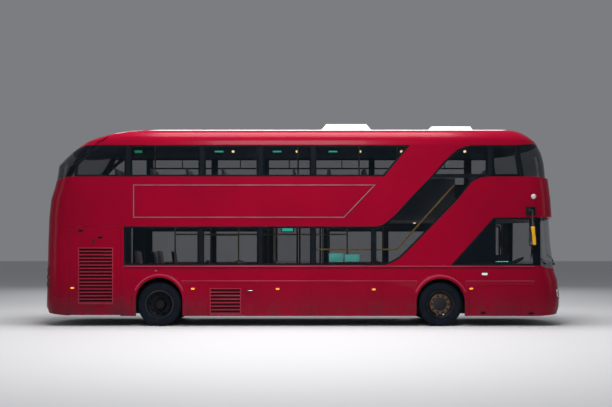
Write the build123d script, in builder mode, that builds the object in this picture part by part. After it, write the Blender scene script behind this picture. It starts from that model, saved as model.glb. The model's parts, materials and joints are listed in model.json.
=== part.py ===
"""Double decker city bus: body panels, glazing, decks, stairs, running gear and gliding doors.

Millimetres. +X points forward, +Y to the nearside where the doors are, +Z up. The origin is on the
ground at mid length and mid width.
"""

import math
import os

from build123d import *

# Overall sizes
LENGTH = 11230.0
WIDTH = 2520.0
FRONT_TIP = LENGTH / 2
REAR_TIP = -LENGTH / 2
HALF = WIDTH / 2
SKIRT_BOTTOM = 216.0

# The x positions below are drawn for this length. With another LENGTH the two ends shift whole and
# the bays between them stretch.
DRAWN_LENGTH = 11230.0
BAYS = (-2300.0, 1560.0)
BEYOND = 300.0
WALL = 50.0
GLASS = 8.0
FIT = 0.3
SEAM = 4.0

# Plan shape of the body: each end is one wide arc, joined to the sides by corner arcs
END_RADIUS = 2970.0
CORNER_RADIUS = 500.0

# Roof: a cove along each side, then a shallow crown
COVE_BASE = 3820.0
COVE_RADIUS = 335.0
CROWN_RISE = 100.0
CROWN_CORNER = 110.0

# Levels of the panels and windows
WAIST = 1240.0
LOWER_SILL = 1283.0
LOWER_HEAD = 2096.0
BELT_FRONT = 2283.0
UPPER_SILL = 3142.0
UPPER_HEAD = 3800.0

# The front belt stands proud of the glass: the height of each ledge, and how far it is from the glass
LEDGE = 21.0
LEDGE_STEP = 4.0

# Wheels
WHEEL_R = 460.0
FRONT_AXLE = 2894.0
REAR_AXLE = -3010.0
TYRE_WIDTH = 275.0
TYRE_OUTER_Y = HALF - 22.0
TWIN_GAP = 40.0
RIM_R = 286.0
RIM_FLANGE = 14.0
BARREL = 13.0
KINGPIN_Y = HALF - 310.0
KINGPIN_R = 25.0

# Decks
FLOOR_TOP = 360.0
FLOOR_THICK = 40.0
DECK_TOP = 2310.0
DECK_THICK = 60.0

# Arches in the skirts: centre height and radius, and the raised lip round each
FRONT_ARCH_R = WHEEL_R + 50
FRONT_ARCH_Z = WHEEL_R + 35
REAR_ARCH_R = WHEEL_R + 32
REAR_ARCH_Z = WHEEL_R + 73
LIP_WIDTH = 88.0
LIP_PROUD = 14.0
LIP_EDGE = 8.0
BOX_WALL = 12.0
FRONT_BOX_HALF = WHEEL_R + 125
REAR_BOX_HALF = WHEEL_R + 70
FRONT_BOX_Y = HALF - 620.0
REAR_BOX_Y = HALF - 640.0
BOX_TOP = 2 * WHEEL_R + 125

# Doors: width and rear edge of each clear opening, and the post and arm sizes
DOOR_WIDTH = 1180.0
REAR_DOOR_WIDTH = 840.0
FRONT_DOOR_X = 3580.0
MIDDLE_DOOR_X = -700.0
REAR_DOOR_X = -4860.0
DOOR_HEAD = 2226.0
DOOR_PLANE = HALF - 22.0
POST_R = 15.0
POST_JAMB = 5.0
LEAF_THICK = 26.0
LEAF_EDGE = 25.0
ARM_WIDTH = 30.0
ARM_THICK = 12.0
DOOR_GAP = 6.0
MEETING_GAP = 10.0
PIN_R = 8.0

# Raised and sunk work on the sides: how far each stands proud, and how deep a groove goes
RAIL_PROUD = 8.0
MOULDING = 18.0
MOULDING_PROUD = 5.0
GROOVE = 5.0
ROOT = 3.0
GRILLE_FRAME = 22.0

BIG = 9000.0


def station(x):
    """Where a drawn x position lies on a body of this LENGTH."""
    shift = (LENGTH - DRAWN_LENGTH) / 2
    share = (x - BAYS[0]) / (BAYS[1] - BAYS[0])
    return x + shift * (2 * min(1, max(0, share)) - 1)


def placed(points):
    """A drawn side view outline, moved to its stations."""
    return [(station(x), z) for x, z in points]


def side_range(side, inward, outward=0.0):
    """The y range from inward mm inside a side's face to outward mm outside it."""
    return tuple(sorted((side * (HALF - inward), side * (HALF + outward))))


def block(x, y, z, mode=Mode.ADD):
    """A box between two x, two y and two z values, in the current part."""
    with Locations(((x[0] + x[1]) / 2, (y[0] + y[1]) / 2, (z[0] + z[1]) / 2)):
        Box(x[1] - x[0], y[1] - y[0], z[1] - z[0], mode=mode)


def side_prism(points, y, mode=Mode.ADD):
    """A side view outline, given as (x, z) points, run from y[0] to y[1] across the bus."""
    with BuildSketch(Plane.XZ.offset(-y[0])) as outline:
        with BuildLine():
            Polyline(*points, close=True)
        make_face()
    extrude(outline.sketch, amount=-(y[1] - y[0]), mode=mode)


def end_prism(points, x, mode=Mode.ADD):
    """A front or rear view outline, given as (y, z) points, run from x[0] to x[1] along the bus."""
    with BuildSketch(Plane.YZ.offset(x[0])) as outline:
        with BuildLine():
            Polyline(*points, close=True)
        make_face()
    extrude(outline.sketch, amount=x[1] - x[0], mode=mode)


def side_slice(shell, points, y):
    """What a side view outline cuts out of a shell, between two y values."""
    with BuildPart() as piece:
        add(shell)
        side_prism(points, y, Mode.INTERSECT)
    return piece.part


def end_slice(shell, points, x):
    """What a front or rear view outline cuts out of a shell, between two x values."""
    with BuildPart() as piece:
        add(shell)
        end_prism(points, x, Mode.INTERSECT)
    return piece.part


def plan_section(z, front, rear, half, corner, sweep):
    """One level of the body as seen from above: two sides, four corner arcs and two end arcs."""

    def end(tip, facing):
        middle = tip - facing * sweep
        reach = math.sqrt((sweep - corner) ** 2 - (half - corner) ** 2)
        centre_x = middle + facing * reach
        lean = math.atan2(half - corner, reach)
        half_way = (lean + math.pi / 2) / 2
        join = (middle + facing * sweep * math.cos(lean), sweep * math.sin(lean))
        bend = (
            centre_x + facing * corner * math.cos(half_way),
            half - corner + corner * math.sin(half_way),
        )
        return (centre_x, half), bend, join, (tip, 0)

    side_f, bend_f, join_f, tip_f = end(front, 1)
    side_r, bend_r, join_r, tip_r = end(rear, -1)

    def low(point):
        return (point[0], -point[1])

    with BuildSketch(Plane.XY.offset(z)) as level:
        with BuildLine():
            Line(low(side_r), low(side_f))
            ThreePointArc(low(side_f), low(bend_f), low(join_f))
            ThreePointArc(low(join_f), tip_f, join_f)
            ThreePointArc(join_f, bend_f, side_f)
            Line(side_f, side_r)
            ThreePointArc(side_r, bend_r, join_r)
            ThreePointArc(join_r, tip_r, low(join_r))
            ThreePointArc(low(join_r), low(bend_r), low(side_r))
        make_face()
    return level.sketch


# Body levels: height, how far the side stands in, front end and rear end, measured from the tips,
# and the tilt of the skin from upright, in degrees. The belt stands proud of the glass above and
# below it at the front.
WALL_LEVELS = [
    # z, side_in, front_in, rear_in, tilt
    (SKIRT_BOTTOM, 0, 55, 70, 0),
    (400, 0, 3, 0, 0),
    (560, 0, 0, 4, 0),
    (960, 0, 36, 17, 0),
    (1150, 0, 99, 22, 0),
    (1720, 0, 176, 31, 0),
    (BELT_FRONT + LEDGE_STEP, 0, 214, 54, 0),
    (BELT_FRONT + LEDGE_STEP + LEDGE, 0, 154, 55, 0),
    (2680, 0, 180, 95, 0),
    (2930, 0, 211, 175, 0),
    (UPPER_SILL - LEDGE_STEP - LEDGE, 0, 236, 221, 0),
    (UPPER_SILL - LEDGE_STEP, 0, 290, 226, 0),
    (3400, 0, 314, 265, 0),
    (3560, 0, 345, 420, 5),
    (3690, 0, 390, 565, 8),
    (COVE_BASE, 0, 460, 742, 10),
]
COVE_LEVELS = [
    # angle round the cove, front_in, rear_in
    (15, 518, 870),
    (30, 615, 1075),
    (45, 718, 1315),
    (60, 825, 1605),
    (75, 925, 1895),
    (90, 975, 2055),
]
CROWN_LEVELS = [
    # share of the crown's rise, half width, front_in, rear_in
    (0.45, HALF - 560, 1165, 2315),
    (0.78, HALF - 810, 1465, 2615),
    (1.00, HALF - 1110, 1915, 2915),
]


def body_sections(inset):
    """Every level of the body, with the skin moved in by inset along its own slope."""
    levels = []
    sweep = END_RADIUS - inset
    for z, side_in, front_in, rear_in, tilt in WALL_LEVELS:
        if z == SKIRT_BOTTOM and inset > 0:
            z -= 20
        flat = inset * math.cos(math.radians(tilt))
        drop = inset * math.sin(math.radians(tilt))
        levels.append(
            plan_section(
                z - drop,
                FRONT_TIP - front_in - flat,
                REAR_TIP + rear_in + flat,
                HALF - side_in - inset,
                CORNER_RADIUS - inset,
                sweep,
            )
        )
    cove = COVE_RADIUS - inset
    for angle, front_in, rear_in in COVE_LEVELS:
        turn = math.radians(angle)
        side_in = inset + cove * (1 - math.cos(turn))
        levels.append(
            plan_section(
                COVE_BASE + cove * math.sin(turn),
                FRONT_TIP - front_in - inset,
                REAR_TIP + rear_in + inset,
                HALF - side_in,
                CORNER_RADIUS - side_in,
                sweep,
            )
        )
    top = COVE_BASE + COVE_RADIUS - inset
    for share, half, front_in, rear_in in CROWN_LEVELS:
        levels.append(
            plan_section(
                top + share * CROWN_RISE,
                FRONT_TIP - front_in - inset,
                REAR_TIP + rear_in + inset,
                half - inset / 5,
                CROWN_CORNER - inset / 5,
                sweep,
            )
        )
    return levels


with BuildPart() as outer_skin:
    loft(body_sections(0), ruled=True)

with BuildPart() as glass_back:
    loft(body_sections(GLASS), ruled=True)

with BuildPart() as pillar_face:
    loft(body_sections(GLASS + FIT), ruled=True)

with BuildPart() as inner_skin:
    loft(body_sections(WALL), ruled=True)

with BuildPart() as cabin_space:
    loft(body_sections(WALL + FIT), ruled=True)

with BuildPart() as wall_shell:
    add(outer_skin.part)
    add(inner_skin.part, mode=Mode.SUBTRACT)

with BuildPart() as glass_shell:
    add(outer_skin.part)
    add(glass_back.part, mode=Mode.SUBTRACT)

with BuildPart() as pillar_shell:
    add(pillar_face.part)
    add(inner_skin.part, mode=Mode.SUBTRACT)


NEAR_SIDE, OFF_SIDE = 1, -1
FRONT_AXLE_X = station(FRONT_AXLE)
REAR_AXLE_X = station(REAR_AXLE)


def doorway(rear, width):
    """The rear and front edge of a doorway, kept at its own width."""
    return (station(rear), station(rear) + width)


FRONT_DOOR = doorway(FRONT_DOOR_X, DOOR_WIDTH)
MIDDLE_DOOR = doorway(MIDDLE_DOOR_X, DOOR_WIDTH)
REAR_DOOR = doorway(REAR_DOOR_X, REAR_DOOR_WIDTH)
NEAR_DOORS = (FRONT_DOOR, MIDDLE_DOOR, REAR_DOOR)

# Window and panel outlines in side view, as drawn (x, z)
DRAWN_FRONT = DRAWN_LENGTH / 2 + BEYOND
DRAWN_REAR = -DRAWN_FRONT
REAR_PILLAR_TOP = -4440.0
REAR_PILLAR_FOOT = -4870.0
PILLAR_RUN = 120.0
FRONT_PILLAR_TOP = 4471.0
FRONT_PILLAR_FOOT = 4588.0
FRONT_PILLAR_RUN = 60.0
UPPER_BAND = placed(
    [
        (REAR_PILLAR_FOOT - PILLAR_RUN, UPPER_SILL),
        (1708, UPPER_SILL),
        (2253, UPPER_HEAD),
        (REAR_PILLAR_TOP - PILLAR_RUN, UPPER_HEAD),
    ]
)
REAR_WRAP = placed(
    [
        (REAR_PILLAR_TOP - PILLAR_RUN, UPPER_HEAD),
        (-5090, 3665),
        (DRAWN_REAR, 3665),
        (DRAWN_REAR, 3020),
        (-5250, 3060),
        (REAR_PILLAR_FOOT - PILLAR_RUN, UPPER_SILL),
    ]
)
FRONT_GLASS_TOP = 3852.0
FRONT_WRAP = placed(
    [
        (FRONT_PILLAR_FOOT, UPPER_SILL),
        (DRAWN_FRONT, UPPER_SILL),
        (DRAWN_FRONT, FRONT_GLASS_TOP),
        (5060, FRONT_GLASS_TOP),
        (FRONT_PILLAR_TOP, UPPER_HEAD),
    ]
)
STAIR_GLASS = placed(
    [
        (-3753, LOWER_SILL),
        (1708, LOWER_SILL),
        (1868, 1331),
        (2029, 1419),
        (2188, 1564),
        (3243, 2647),
        (3551, 3027),
        (3725, 3121),
        (3911, UPPER_SILL),
        (FRONT_PILLAR_FOOT, UPPER_SILL),
        (FRONT_PILLAR_TOP, UPPER_HEAD),
        (3511, UPPER_HEAD),
        (3377, 3762),
        (3216, 3695),
        (2975, 3469),
        (2708, 3161),
        (2214, 2647),
        (2040, 2456),
        (1933, 2333),
        (1709, 2148),
        (1547, LOWER_HEAD),
        (-3753, LOWER_HEAD),
    ]
)
SCREEN_PILLAR = 4869.0
SCREEN_EDGE = 4995.0
DRIVER_GLASS = placed(
    [
        (3100, 1274),
        (SCREEN_PILLAR, 1274),
        (SCREEN_PILLAR, BELT_FRONT),
        (4004, BELT_FRONT),
    ]
)
SCREEN_PILLAR_GLASS = placed(
    [
        (SCREEN_PILLAR, 1274),
        (SCREEN_EDGE, 1274),
        (SCREEN_EDGE, BELT_FRONT),
        (SCREEN_PILLAR, BELT_FRONT),
    ]
)
WINDSCREEN = placed(
    [
        (SCREEN_EDGE, 1274),
        (5100, 1230),
        (DRAWN_FRONT, 1165),
        (DRAWN_FRONT, BELT_FRONT),
        (SCREEN_EDGE, BELT_FRONT),
    ]
)
NEAR_BAND = placed(
    [
        (-3753, LOWER_SILL),
        (3480, LOWER_SILL),
        (3480, LOWER_HEAD),
        (-3753, LOWER_HEAD),
    ]
)
NEAR_UPPER = placed(
    [
        (REAR_PILLAR_FOOT - PILLAR_RUN, UPPER_SILL),
        (FRONT_PILLAR_FOOT, UPPER_SILL),
        (FRONT_PILLAR_TOP, UPPER_HEAD),
        (REAR_PILLAR_TOP - PILLAR_RUN, UPPER_HEAD),
    ]
)
ROOF_SIDE = placed(
    [
        (DRAWN_REAR, 3665),
        (-5090, 3665),
        (REAR_PILLAR_TOP - PILLAR_RUN, UPPER_HEAD),
        (FRONT_PILLAR_TOP, UPPER_HEAD),
        (5060, FRONT_GLASS_TOP),
        (DRAWN_FRONT, FRONT_GLASS_TOP),
        (DRAWN_FRONT, 4600),
        (DRAWN_REAR, 4600),
    ]
)
BELT_SEAM_REAR = -3733.0
BELT_SEAM_FRONT = 4620.0
SIDE_END_REAR = -4906.0
SIDE_END_FRONT = 4945.0

# The glazed sweep over the rear stairs and the blank sign window, in end view, as (y, z)
REAR_SWEEP = [
    (HALF - 120, 1330),
    (HALF - 120, 2190),
    (HALF - 330, 2440),
    (330, 2960),
    (-560, 2960),
    (HALF - 700, 1740),
    (HALF - 640, 1430),
    (HALF - 560, 1330),
]
SIGN_HALF = 640.0
SIGN_Z = (2400.0, 2840.0)
SIGN_WINDOW = [
    (-SIGN_HALF, SIGN_Z[0]),
    (SIGN_HALF, SIGN_Z[0]),
    (SIGN_HALF, SIGN_Z[1]),
    (-SIGN_HALF, SIGN_Z[1]),
]
FRONT_END = (FRONT_TIP - 900, FRONT_TIP + BEYOND)
REAR_END = (REAR_TIP - BEYOND, REAR_TIP + 640)
REAR_UPPER_SIDE = placed(
    [
        (DRAWN_REAR, LOWER_HEAD),
        (BELT_SEAM_REAR, LOWER_HEAD),
        (BELT_SEAM_REAR, UPPER_SILL),
        (REAR_PILLAR_FOOT - PILLAR_RUN, UPPER_SILL),
        (-5250, 3060),
        (DRAWN_REAR, 3020),
    ]
)
FRONT_UPPER_SIDE = placed(
    [
        (BELT_SEAM_FRONT, BELT_FRONT),
        (DRAWN_FRONT, BELT_FRONT),
        (DRAWN_FRONT, UPPER_SILL),
        (BELT_SEAM_FRONT, UPPER_SILL),
    ]
)
FRONT_LOWER_SIDE = placed(
    [
        (SIDE_END_FRONT, SKIRT_BOTTOM),
        (5300, SKIRT_BOTTOM + 20),
        (DRAWN_FRONT, SKIRT_BOTTOM + 95),
        (DRAWN_FRONT, 1165),
        (5100, 1230),
        (SCREEN_EDGE, 1274),
        (SIDE_END_FRONT, 1274),
    ]
)
REAR_LOWER_SIDE = placed(
    [
        (DRAWN_REAR, SKIRT_BOTTOM + 110),
        (-5300, SKIRT_BOTTOM + 40),
        (SIDE_END_REAR, SKIRT_BOTTOM + 10),
        (SIDE_END_REAR, LOWER_HEAD),
        (DRAWN_REAR, LOWER_HEAD),
    ]
)
WALL_REAR = station(-3825)
WALL_FRONT = station(SIDE_END_FRONT)
PANEL_REAR = station(SIDE_END_REAR)
ENGINE_DOOR_X = (PANEL_REAR, WALL_REAR)
ENGINE_DOOR_Z = (SKIRT_BOTTOM + 20, LOWER_HEAD)
CENTRE_X = (station(-3440), station(3790))
CENTRE_HALF = HALF - 260.0
CENTRE_Z = (COVE_BASE + 170, COVE_BASE + 580)
OFFSIDE = (-BIG, 0.0)
NEARSIDE = (0.0, BIG)
ACROSS = (-BIG, BIG)

pieces = {}


def keep(builder, name):
    """Labels a finished piece and notes it for export."""
    builder.part.label = name
    pieces[name] = builder.part


with BuildPart() as roof_shell:
    add(wall_shell.part)
    side_prism(ROOF_SIDE, ACROSS, Mode.INTERSECT)
    block(CENTRE_X, (-CENTRE_HALF, CENTRE_HALF), CENTRE_Z, Mode.SUBTRACT)
    block((-BIG, CENTRE_X[0]), ACROSS, (0, BIG), Mode.SUBTRACT)
keep(roof_shell, "roof_shell")

# The rear dome, and the ring of roof in front of it
DOME_X = station(-4300)

with BuildPart() as rear_dome:
    add(wall_shell.part)
    side_prism(ROOF_SIDE, ACROSS, Mode.INTERSECT)
    block((CENTRE_X[0], BIG), ACROSS, (0, BIG), Mode.SUBTRACT)
    block((DOME_X - SEAM, DOME_X), ACROSS, (0, BIG), Mode.SUBTRACT)
keep(rear_dome, "rear_dome")

with BuildPart() as roof_centre:
    add(wall_shell.part)
    block(CENTRE_X, (-CENTRE_HALF, CENTRE_HALF), CENTRE_Z, Mode.INTERSECT)
keep(roof_centre, "roof_centre")

# Grilles in the offside, each from its rear to its front edge, with its number of blades
ENGINE_GRILLE_X = (-4688.0, -3995.0)
ENGINE_GRILLE_Z = (484.0, 1631.0)
ENGINE_BLADES = 16
SKIRT_GRILLE_X = (-1928.0, -1314.0)
SKIRT_GRILLE_Z = (258.0, 778.0)
SKIRT_BLADES = 7
BLADE_EDGE = 15.0
BLADE_THICK = 12.0
BLADE_SET = 3.0
BLADE_DEPTH = 36.0


def grille(x, z, count):
    """A framed opening in the offside, filled with slanted blades that shed rain outwards."""
    frame = GRILLE_FRAME
    face = -HALF
    block(
        (x[0] - frame, x[1] + frame),
        (face - RAIL_PROUD, face + ROOT),
        (z[0] - frame, z[1] + frame),
    )
    block(x, (face - BIG, face + WALL + 1), z, Mode.SUBTRACT)
    pitch = (z[1] - z[0]) / count
    lean = pitch - BLADE_EDGE
    outer = face + BLADE_SET
    inner = face + BLADE_DEPTH
    with BuildSketch(Plane.YZ.offset(x[0] - ROOT)) as blades:
        with Locations(*[(0, z[0] + step * pitch) for step in range(count)]):
            Polygon(
                (outer, 1),
                (outer, BLADE_EDGE),
                (inner, BLADE_EDGE + lean - 1),
                (inner, BLADE_EDGE + lean - 1 - BLADE_THICK),
                (outer + BLADE_THICK / 2, 1),
                align=None,
            )
    extrude(blades.sketch, amount=x[1] - x[0] + 2 * ROOT)


# Rails along the sides: rear end, front end and the two edges in height, as drawn
WAIST_RAIL = [(-3733, 4860, WAIST + 3, WAIST + 32)]
SKIRT_RAILS = [
    (-2550, 2396, 939, 966),
    (3423, 4860, 939, 966),
]
# Grooves along and down the sides: the two x and the two z values, as drawn
WAIST_GROOVES = [(-3733, 4860, WAIST - 27, WAIST - 8)]
LOW_GROOVES = [(3720, 4860, 855, 860)]
SKIRT_SEAMS = [
    # x, low, high
    (-3768, 237, 1180),
    (-2163, 551, 935),
    (-922, 300, 935),
    (-861, 300, 935),
    (185, 300, 935),
    (1652, 300, 935),
]


def raised(table, side):
    """Rails that stand proud of one side."""
    for rear, front, low, high in table:
        block((station(rear), station(front)), side_range(side, ROOT, RAIL_PROUD), (low, high))


def grooves(table, side):
    for rear, front, low, high in table:
        block(
            (station(rear), station(front)),
            side_range(side, GROOVE, BIG),
            (low, high),
            Mode.SUBTRACT,
        )


def seams(table, side):
    for x, low, high in table:
        middle = station(x)
        block(
            (middle - SEAM / 2, middle + SEAM / 2),
            side_range(side, GROOVE, BIG),
            (low, high),
            Mode.SUBTRACT,
        )


# The raised moulding round the large panel between the decks, as drawn
OFFSIDE_FRAME = placed([(-3552, 2278), (866, 2278), (1530, 2970), (-3552, 2970)])
NEARSIDE_FRAME = placed([(-3552, 2370), (2400, 2370), (2400, 2970), (-3552, 2970)])


def moulding(points, side):
    """A thin raised frame on one side, from its outer outline."""
    plane = Plane.XZ.offset(-side * (HALF - ROOT))
    with BuildSketch(plane) as frame:
        with BuildLine():
            Polyline(*points, close=True)
        make_face()
        offset(amount=-MOULDING, kind=Kind.INTERSECTION, mode=Mode.SUBTRACT)
    extrude(frame.sketch, amount=-side * (ROOT + MOULDING_PROUD))


with BuildPart() as offside_wall:
    add(wall_shell.part)
    block((WALL_REAR, WALL_FRONT), (-BIG, 0), (WAIST, UPPER_HEAD), Mode.INTERSECT)
    for outline in (UPPER_BAND, STAIR_GLASS, FRONT_WRAP, DRIVER_GLASS, SCREEN_PILLAR_GLASS):
        side_prism(outline, OFFSIDE, Mode.SUBTRACT)
    side_prism(FRONT_UPPER_SIDE, OFFSIDE, Mode.SUBTRACT)
    side_prism(REAR_UPPER_SIDE, OFFSIDE, Mode.SUBTRACT)
    raised(WAIST_RAIL, OFF_SIDE)
    moulding(OFFSIDE_FRAME, OFF_SIDE)
keep(offside_wall, "offside_wall")


def door_cuts(foot=FLOOR_TOP):
    """The three nearside doorways, cut through the current panel from foot upwards."""
    for rear, front in NEAR_DOORS:
        block((rear, front), (HALF - 360, BIG), (foot, DOOR_HEAD), Mode.SUBTRACT)


def arch(x, z, radius, y):
    """One wheel arch opening: a round top over straight sides, cut out of the current panel."""
    with BuildSketch(Plane.XZ.offset(-y[0])) as opening:
        with Locations((x, z)):
            Circle(radius)
        with Locations((x, z - 300)):
            Rectangle(2 * radius, 600)
    extrude(opening.sketch, amount=-(y[1] - y[0]), mode=Mode.SUBTRACT)


def lip(x, z, radius, side):
    """The raised lip round one arch: its section turned over the top, then run down both sides."""
    section_plane = Plane(origin=(x, 0, z), x_dir=(1, 0, 0), z_dir=(0, 0, 1))
    root, face = side * (HALF - ROOT), side * (HALF + LIP_PROUD)
    edge = side * (HALF + LIP_PROUD - LIP_EDGE)
    points = [
        (radius, root),
        (radius, face),
        (radius + LIP_WIDTH - 2 * LIP_EDGE, face),
        (radius + LIP_WIDTH, edge),
        (radius + LIP_WIDTH, root),
    ]
    with BuildSketch(section_plane) as front_half:
        with BuildLine():
            Polyline(*points, close=True)
        make_face()
    with BuildSketch(section_plane) as rear_half:
        with BuildLine():
            Polyline(*[(-run, across) for run, across in points], close=True)
        make_face()
    revolve(front_half.sketch, axis=Axis((x, 0, z), (0, -1, 0)), revolution_arc=180)
    for half in (front_half, rear_half):
        extrude(half.sketch, amount=-(z - SKIRT_BOTTOM))


def arches(side):
    """Both wheel arches of one side, with their lips."""
    y = NEARSIDE if side > 0 else OFFSIDE
    arch(FRONT_AXLE_X, FRONT_ARCH_Z, FRONT_ARCH_R, y)
    arch(REAR_AXLE_X, REAR_ARCH_Z, REAR_ARCH_R, y)
    lip(FRONT_AXLE_X, FRONT_ARCH_Z, FRONT_ARCH_R, side)
    lip(REAR_AXLE_X, REAR_ARCH_Z, REAR_ARCH_R, side)


with BuildPart() as nearside_wall:
    add(wall_shell.part)
    block((PANEL_REAR, WALL_FRONT), (0, BIG), (WAIST, UPPER_SILL), Mode.INTERSECT)
    side_prism(NEAR_BAND, NEARSIDE, Mode.SUBTRACT)
    side_prism(REAR_UPPER_SIDE, NEARSIDE, Mode.SUBTRACT)
    side_prism(SCREEN_PILLAR_GLASS, NEARSIDE, Mode.SUBTRACT)
    side_prism(FRONT_UPPER_SIDE, NEARSIDE, Mode.SUBTRACT)
    raised(WAIST_RAIL, NEAR_SIDE)
    moulding(NEARSIDE_FRAME, NEAR_SIDE)
    door_cuts()
keep(nearside_wall, "nearside_wall")

with BuildPart() as offside_skirt:
    add(wall_shell.part)
    block((WALL_REAR, WALL_FRONT), (-BIG, 0), (SKIRT_BOTTOM, WAIST), Mode.INTERSECT)
    raised(SKIRT_RAILS, OFF_SIDE)
    grooves(WAIST_GROOVES + LOW_GROOVES, OFF_SIDE)
    seams(SKIRT_SEAMS, OFF_SIDE)
    grille(tuple(station(x) for x in SKIRT_GRILLE_X), SKIRT_GRILLE_Z, SKIRT_BLADES)
    arches(OFF_SIDE)
keep(offside_skirt, "offside_skirt")

with BuildPart() as nearside_skirt:
    add(wall_shell.part)
    block((PANEL_REAR, WALL_FRONT), (0, BIG), (SKIRT_BOTTOM, WAIST), Mode.INTERSECT)
    raised(SKIRT_RAILS, NEAR_SIDE)
    grooves(WAIST_GROOVES, NEAR_SIDE)
    seams(SKIRT_SEAMS[1:3] + SKIRT_SEAMS[5:], NEAR_SIDE)
    arches(NEAR_SIDE)
    door_cuts(FLOOR_TOP - FLOOR_THICK - FIT)
keep(nearside_skirt, "nearside_skirt")

with BuildPart() as engine_door:
    add(wall_shell.part)
    block(
        (ENGINE_DOOR_X[0] + SEAM, ENGINE_DOOR_X[1] - SEAM),
        (-BIG, 0),
        (ENGINE_DOOR_Z[0], ENGINE_DOOR_Z[1] - SEAM),
        Mode.INTERSECT,
    )
    grille(tuple(station(x) for x in ENGINE_GRILLE_X), ENGINE_GRILLE_Z, ENGINE_BLADES)
keep(engine_door, "engine_door")

# Round lamps: distance from the middle, height and radius
HEAD_LAMPS = [
    # y, z, radius
    (HALF - 275, 690, 78),
    (HALF - 440, 545, 78),
]
TAIL_LAMPS = [
    (HALF - 250, 1180, 60),
    (HALF - 250, 1030, 60),
    (HALF - 250, 880, 60),
]


def lamp_rods(table, x, slack, mode=Mode.ADD):
    """Rods along the bus at every lamp of a table, on both sides."""
    for y, z, radius in table:
        for side in (-1, 1):
            with BuildSketch(Plane.YZ.offset(x[0])) as lamp:
                with Locations((side * y, z)):
                    Circle(radius - slack)
            extrude(lamp.sketch, amount=x[1] - x[0], mode=mode)


FRONT_LAMP_X = (FRONT_TIP - 665, FRONT_TIP + BEYOND)
REAR_LAMP_X = (REAR_TIP - BEYOND, REAR_TIP + 705)

with BuildPart() as rear_lower_panel:
    add(wall_shell.part)
    side_prism(REAR_LOWER_SIDE, ACROSS, Mode.INTERSECT)
    lamp_rods(TAIL_LAMPS, REAR_LAMP_X, 0, Mode.SUBTRACT)
    end_prism(REAR_SWEEP, REAR_END, Mode.SUBTRACT)
keep(rear_lower_panel, "rear_lower_panel")

with BuildPart() as rear_upper_panel:
    add(wall_shell.part)
    side_prism(REAR_UPPER_SIDE, ACROSS, Mode.INTERSECT)
    end_prism(REAR_SWEEP, REAR_END, Mode.SUBTRACT)
    door_cuts()
keep(rear_upper_panel, "rear_upper_panel")

with BuildPart() as front_lower_panel:
    add(wall_shell.part)
    side_prism(FRONT_LOWER_SIDE, ACROSS, Mode.INTERSECT)
    lamp_rods(HEAD_LAMPS, FRONT_LAMP_X, 0, Mode.SUBTRACT)
keep(front_lower_panel, "front_lower_panel")

with BuildPart() as headlamps:
    lamp_rods(HEAD_LAMPS, FRONT_LAMP_X, FIT)
    add(wall_shell.part, mode=Mode.INTERSECT)
keep(headlamps, "headlamps")

with BuildPart() as tail_lamps:
    lamp_rods(TAIL_LAMPS, REAR_LAMP_X, FIT)
    add(wall_shell.part, mode=Mode.INTERSECT)
keep(tail_lamps, "tail_lamps")

with BuildPart() as front_upper_panel:
    add(wall_shell.part)
    side_prism(FRONT_UPPER_SIDE, ACROSS, Mode.INTERSECT)
    end_prism(SIGN_WINDOW, FRONT_END, Mode.SUBTRACT)
keep(front_upper_panel, "front_upper_panel")


def bays(table):
    """Rear and front edges, as drawn, moved to their stations."""
    return [(station(rear), station(front)) for rear, front in table]


# Window pillars: rear and front edge of each dark post, by deck and side
UPPER_POSTS_OFFSIDE = bays([(-3739, -3577), (-2188, -2033), (-953, -813), (153, 288)])
UPPER_POSTS_NEARSIDE = UPPER_POSTS_OFFSIDE + bays([(1564, 1709), (2750, 2890), (3842, 4018)])
LOWER_POSTS_OFFSIDE = bays([(-3753, -3598), (-2209, -2068), (-962, -819), (153, 279), (1432, 1547)])
LOWER_POSTS_NEARSIDE = bays([(-3753, -3598), (-2209, -2068), (1900, 2040), (3340, 3480)])
LOWER_POSTS_NEARSIDE += [
    (MIDDLE_DOOR[0] - 262, MIDDLE_DOOR[0]),
    (MIDDLE_DOOR[1], MIDDLE_DOOR[1] + 160),
]
STAIR_POST = bays([(3842, 4018)])
TRANSOM_Z = (UPPER_SILL - 21, UPPER_SILL + 46)
CAB_PANEL_FRONT = 4050.0


def posts(table, z, y):
    """Solid posts of the pillar layer, between two levels of one side."""
    for rear, front in table:
        add(side_slice(pillar_shell.part, [(rear, z[0]), (front, z[0]), (front, z[1]), (rear, z[1])], y))


def part_of(outline, x, z, y):
    """The pillar layer inside an outline, cut down to an x range and a z range."""
    with BuildPart() as piece:
        add(side_slice(pillar_shell.part, outline, y))
        block(x, y, z, Mode.INTERSECT)
    return piece.part


RAKE = placed(
    [
        (REAR_PILLAR_FOOT - PILLAR_RUN, UPPER_SILL),
        (REAR_PILLAR_FOOT, UPPER_SILL),
        (REAR_PILLAR_TOP, UPPER_HEAD),
        (REAR_PILLAR_TOP - PILLAR_RUN, UPPER_HEAD),
    ]
)
FRONT_RAKE = placed(
    [
        (FRONT_PILLAR_FOOT - FRONT_PILLAR_RUN, UPPER_SILL),
        (FRONT_PILLAR_FOOT + FRONT_PILLAR_RUN, UPPER_SILL),
        (FRONT_PILLAR_TOP + FRONT_PILLAR_RUN, UPPER_HEAD),
        (FRONT_PILLAR_TOP - FRONT_PILLAR_RUN, UPPER_HEAD),
    ]
)

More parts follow.
